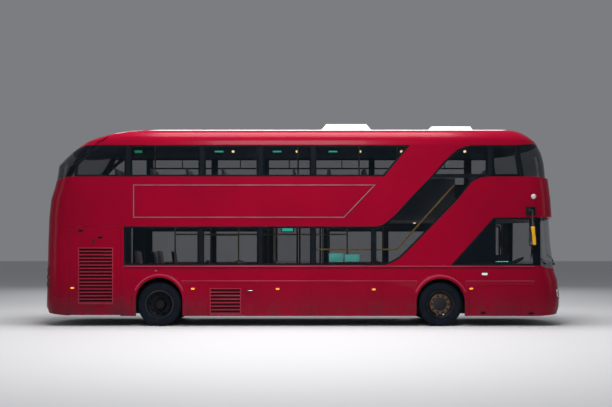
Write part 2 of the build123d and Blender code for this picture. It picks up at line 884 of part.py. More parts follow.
with BuildPart() as window_pillars:
    posts(UPPER_POSTS_OFFSIDE, (UPPER_SILL, UPPER_HEAD), OFFSIDE)
    posts(UPPER_POSTS_NEARSIDE, (UPPER_SILL, UPPER_HEAD), NEARSIDE)
    posts(LOWER_POSTS_OFFSIDE, (LOWER_SILL, LOWER_HEAD), OFFSIDE)
    posts(LOWER_POSTS_NEARSIDE, (LOWER_SILL, LOWER_HEAD), NEARSIDE)
    posts(STAIR_POST, (UPPER_SILL, UPPER_HEAD), OFFSIDE)
    add(part_of(STAIR_GLASS, (station(2000), station(BELT_SEAM_FRONT)), TRANSOM_Z, OFFSIDE))
    add(part_of(DRIVER_GLASS, (station(3000), station(CAB_PANEL_FRONT)), (WAIST, BELT_FRONT), OFFSIDE))
    for outline in (RAKE, FRONT_RAKE, SCREEN_PILLAR_GLASS):
        add(side_slice(pillar_shell.part, outline, ACROSS))
    add(end_slice(pillar_shell.part, SIGN_WINDOW, FRONT_END))
keep(window_pillars, "window_pillars")


def pane_gaps(table, z, y):
    """The thin gaps between panes, one at the middle of each post."""
    for rear, front in table:
        middle = (rear + front) / 2
        block((middle - SEAM / 2, middle + SEAM / 2), y, z, Mode.SUBTRACT)


with BuildPart() as side_glass_upper:
    for outline, side in ((UPPER_BAND, OFFSIDE), (NEAR_UPPER, NEARSIDE)):
        add(side_slice(glass_shell.part, outline, side))
    pane_gaps(UPPER_POSTS_OFFSIDE, (UPPER_SILL - 1, UPPER_HEAD + 1), OFFSIDE)
    pane_gaps(UPPER_POSTS_NEARSIDE, (UPPER_SILL - 1, UPPER_HEAD + 1), NEARSIDE)
keep(side_glass_upper, "side_glass_upper")

with BuildPart() as side_glass_lower:
    for outline, side in (
        (STAIR_GLASS, OFFSIDE),
        (DRIVER_GLASS, OFFSIDE),
        (NEAR_BAND, NEARSIDE),
    ):
        add(side_slice(glass_shell.part, outline, side))
    door_cuts()
    pane_gaps(LOWER_POSTS_OFFSIDE[1:], (LOWER_SILL - 1, LOWER_HEAD + 1), OFFSIDE)
    pane_gaps(LOWER_POSTS_NEARSIDE[1:3], (LOWER_SILL - 1, LOWER_HEAD + 1), NEARSIDE)
    pane_gaps(STAIR_POST, (UPPER_SILL - 1, UPPER_HEAD + 1), OFFSIDE)
    middle = (TRANSOM_Z[0] + TRANSOM_Z[1]) / 2
    block(
        (station(2000), station(BELT_SEAM_FRONT)),
        OFFSIDE,
        (middle - SEAM / 2, middle + SEAM / 2),
        Mode.SUBTRACT,
    )
keep(side_glass_lower, "side_glass_lower")

with BuildPart() as windscreen:
    add(side_slice(glass_shell.part, WINDSCREEN, ACROSS))
keep(windscreen, "windscreen")

with BuildPart() as front_upper_glass:
    add(side_slice(glass_shell.part, FRONT_WRAP, ACROSS))
    add(end_slice(glass_shell.part, SIGN_WINDOW, FRONT_END))
keep(front_upper_glass, "front_upper_glass")

with BuildPart() as rear_glass:
    add(side_slice(glass_shell.part, REAR_WRAP, ACROSS))
    add(end_slice(glass_shell.part, REAR_SWEEP, REAR_END))
keep(rear_glass, "rear_glass")

# Stairs: rise and going of each step, and the flights' ends
RISERS = 10
RISE = (DECK_TOP - FLOOR_TOP) / RISERS
GOING = 190.0
STAIR_RUN = (RISERS - 1) * GOING
SOLE_DROP = 45.0
STAIR_SOLE = RISE + SOLE_DROP
STAIR_CLEAR = 8.0
# The front flight starts where its sole clears the wheel box that it passes over
OVER_BOX = (BOX_TOP + STAIR_CLEAR - FLOOR_TOP + SOLE_DROP) * GOING / RISE
FRONT_STAIR_X = FRONT_AXLE_X - FRONT_BOX_HALF - OVER_BOX
FRONT_STAIR_Y = (-HALF + 65, -HALF + 610)
REAR_STAIR_X = (REAR_TIP + 135, REAR_TIP + 695)
REAR_STAIR_Y = HALF - 360.0
STRINGER = 25.0
STRINGER_RISE = 120.0


def flight_outline(going_sign):
    """The stepped side view of one flight, starting at (0, 0), as (run, height) points."""
    points = [(0.0, 0.0)]
    for step in range(RISERS - 1):
        points.append((going_sign * step * GOING, (step + 1) * RISE))
        points.append((going_sign * (step + 1) * GOING, (step + 1) * RISE))
    slope = RISE / GOING
    top_run = (RISERS - 1) * GOING
    points.append((going_sign * top_run, top_run * slope + RISE - STAIR_SOLE))
    start = (STAIR_SOLE - RISE) / slope
    points.append((going_sign * start, 0.0))
    return points


def flight_side(start, going_sign):
    """The side view of a flight that starts at one place on the lower floor."""
    return [(start + run, FLOOR_TOP + FIT + up) for run, up in flight_outline(going_sign)]


def stringer_side(start):
    """The sloped side board of the front flight, from its sole to a hand above the treads."""
    foot = FLOOR_TOP + FIT
    slope = RISE / GOING
    ends = (SOLE_DROP / slope, STAIR_RUN)
    low = [(start + run, foot + run * slope - SOLE_DROP) for run in ends]
    high = [(start + run, foot + run * slope + RISE + STRINGER_RISE) for run in reversed(ends)]
    return low + high


def rear_flight():
    """The flight across the rear, shaped to the inside of the body."""
    with BuildPart() as flight:
        end_prism(flight_side(REAR_STAIR_Y, -1), REAR_STAIR_X)
        add(cabin_space.part, mode=Mode.INTERSECT)
    return flight.part


with BuildPart() as staircases:
    add(rear_flight())
    side_prism(flight_side(FRONT_STAIR_X, 1), FRONT_STAIR_Y)
keep(staircases, "staircases")


def wheel_box_rooms():
    """The outer space of the four wheel boxes, as (x, y, z) ranges."""
    rooms = []
    for axle_x, half, inner in (
        (FRONT_AXLE_X, FRONT_BOX_HALF, FRONT_BOX_Y),
        (REAR_AXLE_X, REAR_BOX_HALF, REAR_BOX_Y),
    ):
        for side in (-1, 1):
            edge = (inner, HALF - WALL - FIT)
            y = edge if side > 0 else (-edge[1], -edge[0])
            rooms.append(((axle_x - half, axle_x + half), y, side))
    return rooms


def wheel_box(x, y, side):
    """One wheel box: a top and three walls, open below and towards the skirt."""
    with BuildPart() as box:
        block(x, y, (FLOOR_TOP - FLOOR_THICK, BOX_TOP))
        room_y = (y[0] + BOX_WALL, BIG) if side > 0 else (-BIG, y[1] - BOX_WALL)
        block((x[0] + BOX_WALL, x[1] - BOX_WALL), room_y, (0, BOX_TOP - BOX_WALL), Mode.SUBTRACT)
    return box.part


with BuildPart() as wheel_boxes:
    for x, y, side in wheel_box_rooms():
        add(wheel_box(x, y, side))
keep(wheel_boxes, "wheel_boxes")

ENGINE_X = (station(-4780), station(-3960))
ENGINE_Y = (-HALF + 130, -430.0)
ENGINE_Z = (FLOOR_TOP - FLOOR_THICK, 1330.0)
CASING_X = (ENGINE_X[0] - 80, ENGINE_X[1] + 80)
CASING_Y = (-HALF + WALL + FIT, ENGINE_Y[1] + 80)
CASING_TOP = ENGINE_Z[1] + 150
CASING_WALL = 20.0
CAB_X = (station(3600), station(5000))
CAB_Y = (-HALF + 80, -150.0)
CAB_FLOOR = 700.0


def casing(x, y, top, open_side):
    """A raised casing on the lower floor, open below, and open to the skirt where asked."""
    with BuildPart() as cover:
        block(x, y, (FLOOR_TOP, top))
        block(
            (x[0] + CASING_WALL, x[1] - CASING_WALL),
            (-BIG if open_side else y[0] + CASING_WALL, y[1] - CASING_WALL),
            (0, top - CASING_WALL),
            Mode.SUBTRACT,
        )
    return cover.part


def casing_hole(x, y):
    """The floor is open below a casing, as far as the inside of its walls."""
    block(
        (x[0] + CASING_WALL, x[1] - CASING_WALL),
        (y[0], y[1] - CASING_WALL),
        (0, FLOOR_TOP),
        Mode.SUBTRACT,
    )


with BuildPart() as lower_floor:
    add(cabin_space.part)
    block(
        (REAR_TIP + 215, FRONT_TIP - 215),
        (-BIG, BIG),
        (FLOOR_TOP - FLOOR_THICK, FLOOR_TOP),
        Mode.INTERSECT,
    )
    for x, y, side in wheel_box_rooms():
        room_y = (y[0] - FIT, BIG) if side > 0 else (-BIG, y[1] + FIT)
        block((x[0] - FIT, x[1] + FIT), room_y, (0, FLOOR_TOP), Mode.SUBTRACT)
    casing_hole(CASING_X, (-BIG, CASING_Y[1]))
    add(casing(CASING_X, CASING_Y, CASING_TOP, True))
    for rear, front in NEAR_DOORS:
        block(
            (rear + FIT, front - FIT),
            (HALF - 110, HALF - 2),
            (FLOOR_TOP - FLOOR_THICK, FLOOR_TOP - FIT),
        )
    casing_hole(CAB_X, (CAB_Y[0] + CASING_WALL, CAB_Y[1]))
    add(casing(CAB_X, CAB_Y, CAB_FLOOR, False))
keep(lower_floor, "lower_floor")

# The upper floor, in boards around its two stairwells, then the boards that guard the stairs
WELL_GAP = 5.0
WELL_FRONT = (FRONT_STAIR_X + 310, FRONT_STAIR_X + STAIR_RUN + WELL_GAP)
WELL_FRONT_Y = (-HALF + 60, FRONT_STAIR_Y[1] + STRINGER + WELL_GAP)
WELL_REAR_Y = (REAR_STAIR_Y - STAIR_RUN - WELL_GAP, 600.0)
WELL_REAR_X = REAR_STAIR_X[1] + WELL_GAP
GUARD = 25.0
GUARD_HIGH = 850.0
GUARD_Z = (DECK_TOP + FIT, DECK_TOP + GUARD_HIGH)

with BuildPart() as upper_floor:
    add(cabin_space.part)
    block((-BIG, BIG), (-BIG, BIG), (DECK_TOP - DECK_THICK, DECK_TOP), Mode.INTERSECT)
    block(WELL_FRONT, (-BIG, WELL_FRONT_Y[1]), (0, BIG), Mode.SUBTRACT)
    block((-BIG, WELL_REAR_X), WELL_REAR_Y, (0, BIG), Mode.SUBTRACT)
    block(ACROSS, (WELL_FRONT_Y[1] - SEAM, WELL_FRONT_Y[1]), (0, BIG), Mode.SUBTRACT)
    block((WELL_REAR_X - SEAM, WELL_REAR_X), ACROSS, (0, BIG), Mode.SUBTRACT)
keep(upper_floor, "upper_floor")

with BuildPart() as stair_guards:
    side_prism(stringer_side(FRONT_STAIR_X), (FRONT_STAIR_Y[1] + FIT, FRONT_STAIR_Y[1] + STRINGER))
    block((WELL_FRONT[0] - GUARD, WELL_FRONT[1]), (WELL_FRONT_Y[1], WELL_FRONT_Y[1] + GUARD), GUARD_Z)
    block((WELL_FRONT[0] - GUARD, WELL_FRONT[0]), (WELL_FRONT_Y[0], WELL_FRONT_Y[1] - SEAM), GUARD_Z)
    block((WELL_REAR_X, WELL_REAR_X + GUARD), (WELL_REAR_Y[0] + 400, WELL_REAR_Y[1]), GUARD_Z)
keep(stair_guards, "stair_guards")

with BuildPart() as engine_block:
    block(ENGINE_X, ENGINE_Y, ENGINE_Z)
keep(engine_block, "engine_block")

# Roof pods: half length and half width at the foot, and at the top, middle and top height
PODS = [
    # middle x, foot half length, top half length, foot half width, top half width, top z
    (station(960), 610, 440, 330, 270, 4390),
    (station(3270), 510, 430, 340, 300, 4335),
]
POD_FOOT_Z = 4180.0


def pod(middle, foot_size, top_size, top_z):
    """One pod: a tapered cap whose foot follows the roof."""
    with BuildPart() as cap:
        with BuildSketch(Plane((middle, 0, POD_FOOT_Z))) as foot:
            Rectangle(*foot_size)
        with BuildSketch(Plane((middle, 0, top_z))) as crest:
            Rectangle(*top_size)
        loft([foot.sketch, crest.sketch], ruled=True)
        add(outer_skin.part, mode=Mode.SUBTRACT)
    return cap.part


with BuildPart() as roof_pods:
    for middle, foot_x, top_x, foot_y, top_y, top_z in PODS:
        add(pod(middle, (2 * foot_x, 2 * foot_y), (2 * top_x, 2 * top_y), top_z))
keep(roof_pods, "roof_pods")


def wheel_plane(x):
    """Drawing plane of a wheel's section: radius along X, distance along the axle as Y."""
    return Plane(origin=(x, 0, WHEEL_R), x_dir=(1, 0, 0), z_dir=(0, 0, 1))


def spin(profile, x, mode=Mode.ADD):
    revolve(profile.sketch, axis=Axis((x, 0, WHEEL_R), (0, 1, 0)), mode=mode)


def tyre_ring(x, side, outer):
    """One tyre, from its outer face inwards, with a rounded shoulder and bulged walls."""

    def at(radius, depth):
        return (radius, side * (outer - depth))

    bead = RIM_R + FIT
    lip_r = RIM_R + RIM_FLANGE + 2
    shoulder = WHEEL_R - 22
    low_wall = lip_r + 0.3 * (shoulder - lip_r)
    high_wall = lip_r + 0.7 * (shoulder - lip_r)
    with BuildSketch(wheel_plane(x)) as ring:
        with BuildLine():
            Polyline(
                at(lip_r, 24),
                at(bead, 24),
                at(bead, TYRE_WIDTH - 24),
                at(lip_r, TYRE_WIDTH - 24),
                at(low_wall, TYRE_WIDTH - 5),
                at(high_wall, TYRE_WIDTH),
                at(shoulder, TYRE_WIDTH - 14),
                at(WHEEL_R, TYRE_WIDTH - 38),
                at(WHEEL_R, 38),
                at(shoulder, 14),
                at(high_wall, 0),
                at(low_wall, 5),
                close=True,
            )
        make_face()
    spin(ring, x)


HAND_HOLES = 10
HAND_HOLE_R = 21.0
HAND_HOLE_CIRCLE = 223.0
DISC_THICK = 16.0
HUB_R = 135.0
HUB_BORE = 45.0


def rim_ring(x, side, outer, disc_depth, hub_depth):
    """One wheel: barrel with two flanges, a dished disc and its hub, as a turned section."""

    def at(radius, depth):
        return (radius, side * (outer - depth))

    inner_r = RIM_R - BARREL
    edge = 16
    with BuildSketch(wheel_plane(x)) as section:
        with BuildLine():
            Polyline(
                at(RIM_R, edge + 6),
                at(RIM_R + RIM_FLANGE, edge + 2),
                at(RIM_R + RIM_FLANGE, edge - 6),
                at(inner_r, edge),
                at(inner_r, disc_depth - 30),
                at(inner_r - 55, disc_depth),
                at(HUB_R, disc_depth),
                at(HUB_R, disc_depth - 8),
                at(HUB_BORE + FIT, disc_depth - 8),
                at(HUB_BORE + FIT, hub_depth),
                at(HUB_R - 10, hub_depth),
                at(HUB_R - 10, disc_depth + DISC_THICK),
                at(inner_r - 50, disc_depth + DISC_THICK),
                at(inner_r, disc_depth - 30 + 2 * DISC_THICK),
                at(inner_r, TYRE_WIDTH - edge),
                at(RIM_R + RIM_FLANGE, TYRE_WIDTH - edge + 6),
                at(RIM_R + RIM_FLANGE, TYRE_WIDTH - edge - 2),
                at(RIM_R, TYRE_WIDTH - edge - 6),
                close=True,
            )
        make_face()
    spin(section, x)


def hand_holes(x, side, outer, depth):
    """The ring of round holes through a wheel's disc."""
    y = side * (outer - depth)
    with BuildSketch(Plane.XZ.offset(-y)) as holes:
        with Locations((x, WHEEL_R)):
            with PolarLocations(HAND_HOLE_CIRCLE, HAND_HOLES):
                Circle(HAND_HOLE_R)
    extrude(holes.sketch, amount=80, both=True, mode=Mode.SUBTRACT)


TYRE_INNER_Y = TYRE_OUTER_Y - TYRE_WIDTH
TWIN_OUTER_Y = TYRE_INNER_Y - TWIN_GAP
TWIN_INNER_Y = TWIN_OUTER_Y - TYRE_WIDTH
FRONT_DISC = 70.0
TWIN_DISC = 175.0
SIDES = (("offside", -1), ("nearside", 1))

for side_name, side in SIDES:
    with BuildPart() as front_tyre:
        tyre_ring(FRONT_AXLE_X, side, TYRE_OUTER_Y)
    keep(front_tyre, f"front_tyre_{side_name}")

    with BuildPart() as front_rim:
        rim_ring(FRONT_AXLE_X, side, TYRE_OUTER_Y, FRONT_DISC, 175)
        hand_holes(FRONT_AXLE_X, side, TYRE_OUTER_Y, FRONT_DISC)
    keep(front_rim, f"front_rim_{side_name}")

    with BuildPart() as rear_tyres:
        tyre_ring(REAR_AXLE_X, side, TYRE_OUTER_Y)
        tyre_ring(REAR_AXLE_X, side, TWIN_OUTER_Y)
    keep(rear_tyres, f"rear_tyres_{side_name}")

    with BuildPart() as rear_rims:
        rim_ring(REAR_AXLE_X, side, TYRE_OUTER_Y, TWIN_DISC, TYRE_WIDTH + TWIN_GAP + 60)
        rim_ring(REAR_AXLE_X, side, TWIN_OUTER_Y, 60, TYRE_WIDTH - 60)
        hand_holes(REAR_AXLE_X, side, TYRE_OUTER_Y, TWIN_DISC)
    keep(rear_rims, f"rear_rims_{side_name}")


def rod(start, end, radius, mode=Mode.ADD):
    """A round bar between two points."""
    line = Vector(*end) - Vector(*start)
    with BuildSketch(Plane(origin=start, z_dir=line.normalized())) as disc:
        Circle(radius)
    extrude(disc.sketch, amount=line.length, mode=mode)


# Steering knuckles: a fork round the axle's boss, the pin through both, and the wheel spindle
BOSS_R = 48.0
BOSS_HALF = 60.0
EAR = 30.0
EAR_GAP = 5.0
FORK_PLATE = (62.0, 100.0)
SPINDLE_R = HUB_BORE
SPINDLE_END = TYRE_OUTER_Y - 58

for side_name, side in SIDES:
    pin_y = side * KINGPIN_Y
    plate_y = sorted((pin_y + side * FORK_PLATE[0], pin_y + side * FORK_PLATE[1]))
    fork_top = BOSS_HALF + EAR_GAP + EAR
    with BuildPart() as knuckle:
        for low in (BOSS_HALF + EAR_GAP, -fork_top):
            rod(
                (FRONT_AXLE_X, pin_y, WHEEL_R + low),
                (FRONT_AXLE_X, pin_y, WHEEL_R + low + EAR),
                BOSS_R,
            )
            ear_y = sorted((pin_y, pin_y + side * FORK_PLATE[1]))
            block(
                (FRONT_AXLE_X - BOSS_R, FRONT_AXLE_X + BOSS_R),
                ear_y,
                (WHEEL_R + low, WHEEL_R + low + EAR),
            )
        block(
            (FRONT_AXLE_X - BOSS_R, FRONT_AXLE_X + BOSS_R),
            plate_y,
            (WHEEL_R - fork_top, WHEEL_R + fork_top),
        )
        rod(
            (FRONT_AXLE_X, pin_y, WHEEL_R - fork_top),
            (FRONT_AXLE_X, pin_y, WHEEL_R + fork_top),
            KINGPIN_R,
        )
        rod(
            (FRONT_AXLE_X, side * (KINGPIN_Y + FORK_PLATE[1]), WHEEL_R),
            (FRONT_AXLE_X, side * SPINDLE_END, WHEEL_R),
            SPINDLE_R,
        )
    keep(knuckle, f"knuckle_{side_name}")

# Axle beams and chassis under the floor
BEAM_Z = (205.0, 300.0)
BEAM_HALF = 45.0
BEAM_DROP_Y = KINGPIN_Y - 260
AXLE_PAD_R = 110.0
AXLE_PAD_Y = 470.0
FLOOR_UNDER = FLOOR_TOP - FLOOR_THICK

with BuildPart() as front_axle:
    with BuildSketch(Plane.YZ.offset(FRONT_AXLE_X - BEAM_HALF)) as beam:
        with BuildLine():
            Polyline(
                (-KINGPIN_Y, WHEEL_R - 40),
                (-KINGPIN_Y + 70, WHEEL_R - 40),
                (-BEAM_DROP_Y, BEAM_Z[0]),
                (BEAM_DROP_Y, BEAM_Z[0]),
                (KINGPIN_Y - 70, WHEEL_R - 40),
                (KINGPIN_Y, WHEEL_R - 40),
                (KINGPIN_Y, WHEEL_R + 40),
                (KINGPIN_Y - 120, WHEEL_R + 40),
                (BEAM_DROP_Y - 20, BEAM_Z[1]),
                (-BEAM_DROP_Y + 20, BEAM_Z[1]),
                (-KINGPIN_Y + 120, WHEEL_R + 40),
                (-KINGPIN_Y, WHEEL_R + 40),
                close=True,
            )
        make_face()
    extrude(beam.sketch, amount=2 * BEAM_HALF)
    for side in (-1, 1):
        pin_y = side * KINGPIN_Y
        rod(
            (FRONT_AXLE_X, pin_y, WHEEL_R - BOSS_HALF),
            (FRONT_AXLE_X, pin_y, WHEEL_R + BOSS_HALF),
            BOSS_R,
        )
        rod(
            (FRONT_AXLE_X, pin_y, 0),
            (FRONT_AXLE_X, pin_y, BIG),
            KINGPIN_R + FIT,
            Mode.SUBTRACT,
        )
        rod(
            (FRONT_AXLE_X, side * AXLE_PAD_Y, BEAM_Z[0] + 10),
            (FRONT_AXLE_X, side * AXLE_PAD_Y, FLOOR_UNDER - FIT),
            AXLE_PAD_R,
        )
keep(front_axle, "front_axle")

REAR_HUB_END = TYRE_OUTER_Y - TWIN_DISC + 4
DRUM_R = 245.0
DRUM_Y = (TWIN_INNER_Y - 12, TWIN_INNER_Y + 42)
PAD_Y = (TWIN_INNER_Y - 168, TWIN_INNER_Y - 48)
PORTAL_Y = (TWIN_INNER_Y - 73, TWIN_INNER_Y - 8)
CASE_HALF = 90.0
PAD_HALF = 150.0


def mirrored(side, y):
    """A y range given for the nearside, on either side."""
    return tuple(sorted((side * y[0], side * y[1])))


with BuildPart() as rear_axle:
    block(
        (REAR_AXLE_X - CASE_HALF, REAR_AXLE_X + CASE_HALF),
        (-PORTAL_Y[0] - 10, PORTAL_Y[0] + 10),
        (BEAM_Z[0] - 5, BEAM_Z[1]),
    )
    for side in (-1, 1):
        block(
            (REAR_AXLE_X - PAD_HALF, REAR_AXLE_X + PAD_HALF),
            mirrored(side, PAD_Y),
            (BEAM_Z[0] - 5, FLOOR_UNDER - FIT),
        )
        block(
            (REAR_AXLE_X - CASE_HALF, REAR_AXLE_X + CASE_HALF),
            mirrored(side, PORTAL_Y),
            (BEAM_Z[0] + 5, BEAM_Z[1]),
        )
        rod(
            (REAR_AXLE_X, side * DRUM_Y[0], WHEEL_R),
            (REAR_AXLE_X, side * DRUM_Y[1], WHEEL_R),
            DRUM_R,
        )
        rod(
            (REAR_AXLE_X, side * DRUM_Y[1], WHEEL_R),
            (REAR_AXLE_X, side * (REAR_HUB_END - 4), WHEEL_R),
            SPINDLE_R,
        )
keep(rear_axle, "rear_axle")

# Chassis: two side rails in three lengths that clear the axles, with cross members
RAIL_Y = (380.0, 460.0)
RAIL_Z = (215.0, FLOOR_UNDER - FIT)
RAILS = [
    # rear end, front end
    (REAR_TIP + 235, REAR_AXLE_X - 240),
    (REAR_AXLE_X + 240, FRONT_AXLE_X - 170),
    (FRONT_AXLE_X + 170, FRONT_TIP - 365),
]
CROSS_PITCH = 1050.0
TOW_PIN_R = 25.0
TOW_X = FRONT_TIP - 285
TOW_BAR_X = (FRONT_TIP - 465, FRONT_TIP - 215)
TOW_Z = (RAIL_Z[0] + 20, RAIL_Z[0] + 60)

with BuildPart() as chassis_frame:
    for rear, front in RAILS:
        for side in (-1, 1):
            rail_y = sorted((side * RAIL_Y[0], side * RAIL_Y[1]))
            block((rear, front), rail_y, RAIL_Z)
        count = max(2, round((front - rear) / CROSS_PITCH) + 1)
        for step in range(count):
            x = rear + 60 + step * (front - rear - 120) / (count - 1)
            block((x - 35, x + 35), (-RAIL_Y[0] - 10, RAIL_Y[0] + 10), (RAIL_Z[0] + 10, RAIL_Z[1]))
    for x in (ENGINE_X[0] + 120, ENGINE_X[1] - 120):
        block((x - 35, x + 35), (ENGINE_Y[0], -RAIL_Y[0]), (RAIL_Z[0] + 10, RAIL_Z[1]))
    block(TOW_BAR_X, (-90, 90), TOW_Z)
    rod((TOW_X, 0, 0), (TOW_X, 0, 500), TOW_PIN_R, Mode.SUBTRACT)
keep(chassis_frame, "chassis_frame")

# Seats: side view of one double seat, from the front edge of its cushion
SEAT_OUTLINE = [
    (0, 400),
    (0, 480),
    (-370, 450),
    (-440, 1040),
    (-500, 1040),
    (-450, 400),
    (-300, 400),
    (-300, 0),
    (-120, 0),
    (-120, 400),
]
BOX_SEAT_OUTLINE = [
    (0, 0),
    (0, 90),
    (-370, 70),
    (-440, 560),
    (-500, 560),
    (-450, 0),
]
SEAT_WIDTH = 860.0
SEAT_Y = (HALF - 70 - SEAT_WIDTH, HALF - 70)
BOX_SEAT_WIDTH = 490.0
SEAT_DEPTH = 500.0
LOWER_SEATS = [
    # front of cushion, as drawn, and side
    (1500, OFF_SIDE),
    (700, OFF_SIDE),
    (-100, OFF_SIDE),
    (-900, OFF_SIDE),
    (-1700, OFF_SIDE),
    (2200, NEAR_SIDE),
    (1400, NEAR_SIDE),
    (-950, NEAR_SIDE),
    (-1700, NEAR_SIDE),
]
BOX_SEATS = [
    (-2560, OFF_SIDE),
    (-2560, NEAR_SIDE),
    (-3030, OFF_SIDE),
    (-3030, NEAR_SIDE),
]
UPPER_SEAT_PITCH = 750.0
UPPER_SEAT_ROWS = [
    # first and last row, as drawn, and side
    (4450, -3050, NEAR_SIDE),
    (4450, 4450, OFF_SIDE),
    (1800, -3450, OFF_SIDE),
]


def stationed(table):
    return [(station(x), side) for x, side in table]


def seat_rows(first, last, side):
    """As many rows at the pitch as the deck holds between two stations."""
    rows = int((station(first) - station(last) + 1) // UPPER_SEAT_PITCH) + 1
    return [(station(first) - row * UPPER_SEAT_PITCH, side) for row in range(rows)]


def seats(table, outline, z, y):
    for x, side in table:
        width = (y[0], y[1]) if side > 0 else (-y[1], -y[0])
        side_prism([(x + run, z + up) for run, up in outline], width)


with BuildPart() as passenger_seats:
    seats(stationed(LOWER_SEATS), SEAT_OUTLINE, FLOOR_TOP + FIT, SEAT_Y)
    box_seat_y = (SEAT_Y[1] - BOX_SEAT_WIDTH, SEAT_Y[1])
    seats(stationed(BOX_SEATS), BOX_SEAT_OUTLINE, BOX_TOP + FIT, box_seat_y)
    for first, last, side in UPPER_SEAT_ROWS:
        seats(seat_rows(first, last, side), SEAT_OUTLINE, DECK_TOP + FIT, SEAT_Y)
keep(passenger_seats, "passenger_seats")

# Handrails: upright poles by deck, rails under the ceiling, then the rail along the stair glazing
POLE_R = 17.0
AISLE = SEAT_Y[0] - 30
DOOR_AISLE = HALF - 700
LOWER_POLES = [
    # x, as drawn, and y
    (-2820, -AISLE),
    (-1420, -AISLE),
    (-620, -AISLE),
    (180, -AISLE),
    (980, -AISLE),
    (-2100, AISLE),
    (-800, DOOR_AISLE),
    (580, DOOR_AISLE),
    (1820, AISLE),
    (3480, AISLE),
]
UPPER_POLES = [
    (1240, -AISLE - 6),
    (-1010, -AISLE - 6),
    (-3260, -AISLE - 6),
    (2140, AISLE + 6),
    (-110, AISLE + 6),
    (-2360, AISLE + 6),
]
POLE_TOP_GAP = 3.5
GRAB_RAIL_Z = 1950.0
GRAB_RAILS = [
    # rear end, front end, as drawn, and y
    (-2820, 980, -AISLE),
    (-2100, -1500, AISLE),
]
STAIR_RAIL_Y = -HALF + 110
STAIR_RAIL = [
    (station(216), STAIR_RAIL_Y, 1613),
    (station(1977), STAIR_RAIL_Y, 1613),
    (station(3188), STAIR_RAIL_Y, 2962),
]
GUARD_RAIL_Z = DECK_TOP + GUARD_HIGH + 60
GUARD_RAIL_Y = WELL_FRONT_Y[1] + GUARD / 2


def ceiling(x, y):
    """How high a pole may go on the upper deck at one place, under the inner skin."""
    probe = cabin_space.part.bounding_box().max.Z
    line = Line((x, y, DECK_TOP), (x, y, probe + 100))
    hits = [vertex.Z for vertex in cabin_space.part.intersect(line).vertices()]
    return max(hits) - POLE_TOP_GAP


with BuildPart() as handrails:
    for x, y in LOWER_POLES:
        rod(
            (station(x), y, FLOOR_TOP + FIT),
            (station(x), y, DECK_TOP - DECK_THICK - FIT),
            POLE_R,
        )
    for x, y in UPPER_POLES:
        rod((station(x), y, DECK_TOP + FIT), (station(x), y, ceiling(station(x), y)), POLE_R)
    for rear, front, y in GRAB_RAILS:
        rod((station(rear), y, GRAB_RAIL_Z), (station(front), y, GRAB_RAIL_Z), POLE_R)
    for x in (WELL_FRONT[0] + 100, WELL_FRONT[1] - 100):
        rod((x, GUARD_RAIL_Y, GUARD_Z[1] + FIT), (x, GUARD_RAIL_Y, GUARD_RAIL_Z), 10)
    rod(
        (WELL_FRONT[0] + 60, GUARD_RAIL_Y, GUARD_RAIL_Z),
        (WELL_FRONT[1] - 60, GUARD_RAIL_Y, GUARD_RAIL_Z),
        POLE_R,
    )
keep(handrails, "handrails")

with BuildPart() as stair_rail:
    rod((station(216), -HALF + WALL + FIT, 1613), STAIR_RAIL[0], POLE_R)
    for start, end in zip(STAIR_RAIL, STAIR_RAIL[1:]):
        rod(start, end, POLE_R)
    with Locations(*STAIR_RAIL):
        Sphere(POLE_R)
keep(stair_rail, "stair_rail")

# Cab: partition behind the driver, desk, seat and steering wheel
PARTITION_X = CAB_X[0] + 30
PARTITION = 30.0
with BuildPart() as cab_partition:
    block(
        (PARTITION_X, PARTITION_X + PARTITION),
        (-HALF + WALL + 6, CAB_Y[1]),
        (CAB_FLOOR + FIT, DECK_TOP - DECK_THICK - FIT),
    )
    block(
        (PARTITION_X, PARTITION_X + 970),
        (CAB_Y[1] - PARTITION, CAB_Y[1]),
        (CAB_FLOOR + FIT, 1500),
    )
keep(cab_partition, "cab_partition")

WHEEL_CENTRE = (station(4560), -HALF + 560, CAB_FLOOR + 630)
COLUMN_TILT = 28.0
STEER_R = 225.0
STEER_TUBE = 15.0
STEER_AXIS = (
    -math.sin(math.radians(COLUMN_TILT)),
    0.0,
    math.cos(math.radians(COLUMN_TILT)),
)
steer_plane = Plane(origin=WHEEL_CENTRE, x_dir=(0, 1, 0), z_dir=STEER_AXIS)
COLUMN_R = 40.0
COLUMN_LENGTH = 340.0

DESK_NOSE = FRONT_TIP - 115
DESK = [
    (station(4780), CAB_FLOOR + FIT),
    (CAB_X[1] + FIT, CAB_FLOOR + FIT),
    (CAB_X[1] + FIT, FLOOR_TOP + 200),
    (DESK_NOSE, FLOOR_TOP + 200),
    (DESK_NOSE, CAB_FLOOR + 420),
    (station(4760), CAB_FLOOR + 490),
    (station(4690), CAB_FLOOR + 450),
    (station(4780), CAB_FLOOR + 360),
]
with BuildPart() as dashboard:
    side_prism(DESK, (CAB_Y[0] + 30, CAB_Y[1] + 30))
    add(cabin_space.part, mode=Mode.INTERSECT)
    column_top = Vector(*WHEEL_CENTRE) - Vector(*STEER_AXIS) * (14 + FIT)
    column_foot = column_top - Vector(*STEER_AXIS) * COLUMN_LENGTH
    rod(tuple(column_top), tuple(column_foot), COLUMN_R)
keep(dashboard, "dashboard")

DRIVER_SEAT_X = station(4180)
DRIVER_SEAT_Y = (WHEEL_CENTRE[1] - 230, WHEEL_CENTRE[1] + 230)
with BuildPart() as driver_seat:
    side_prism(
        [(DRIVER_SEAT_X + run, CAB_FLOOR + FIT + up) for run, up in SEAT_OUTLINE],
        DRIVER_SEAT_Y,
    )
keep(driver_seat, "driver_seat")

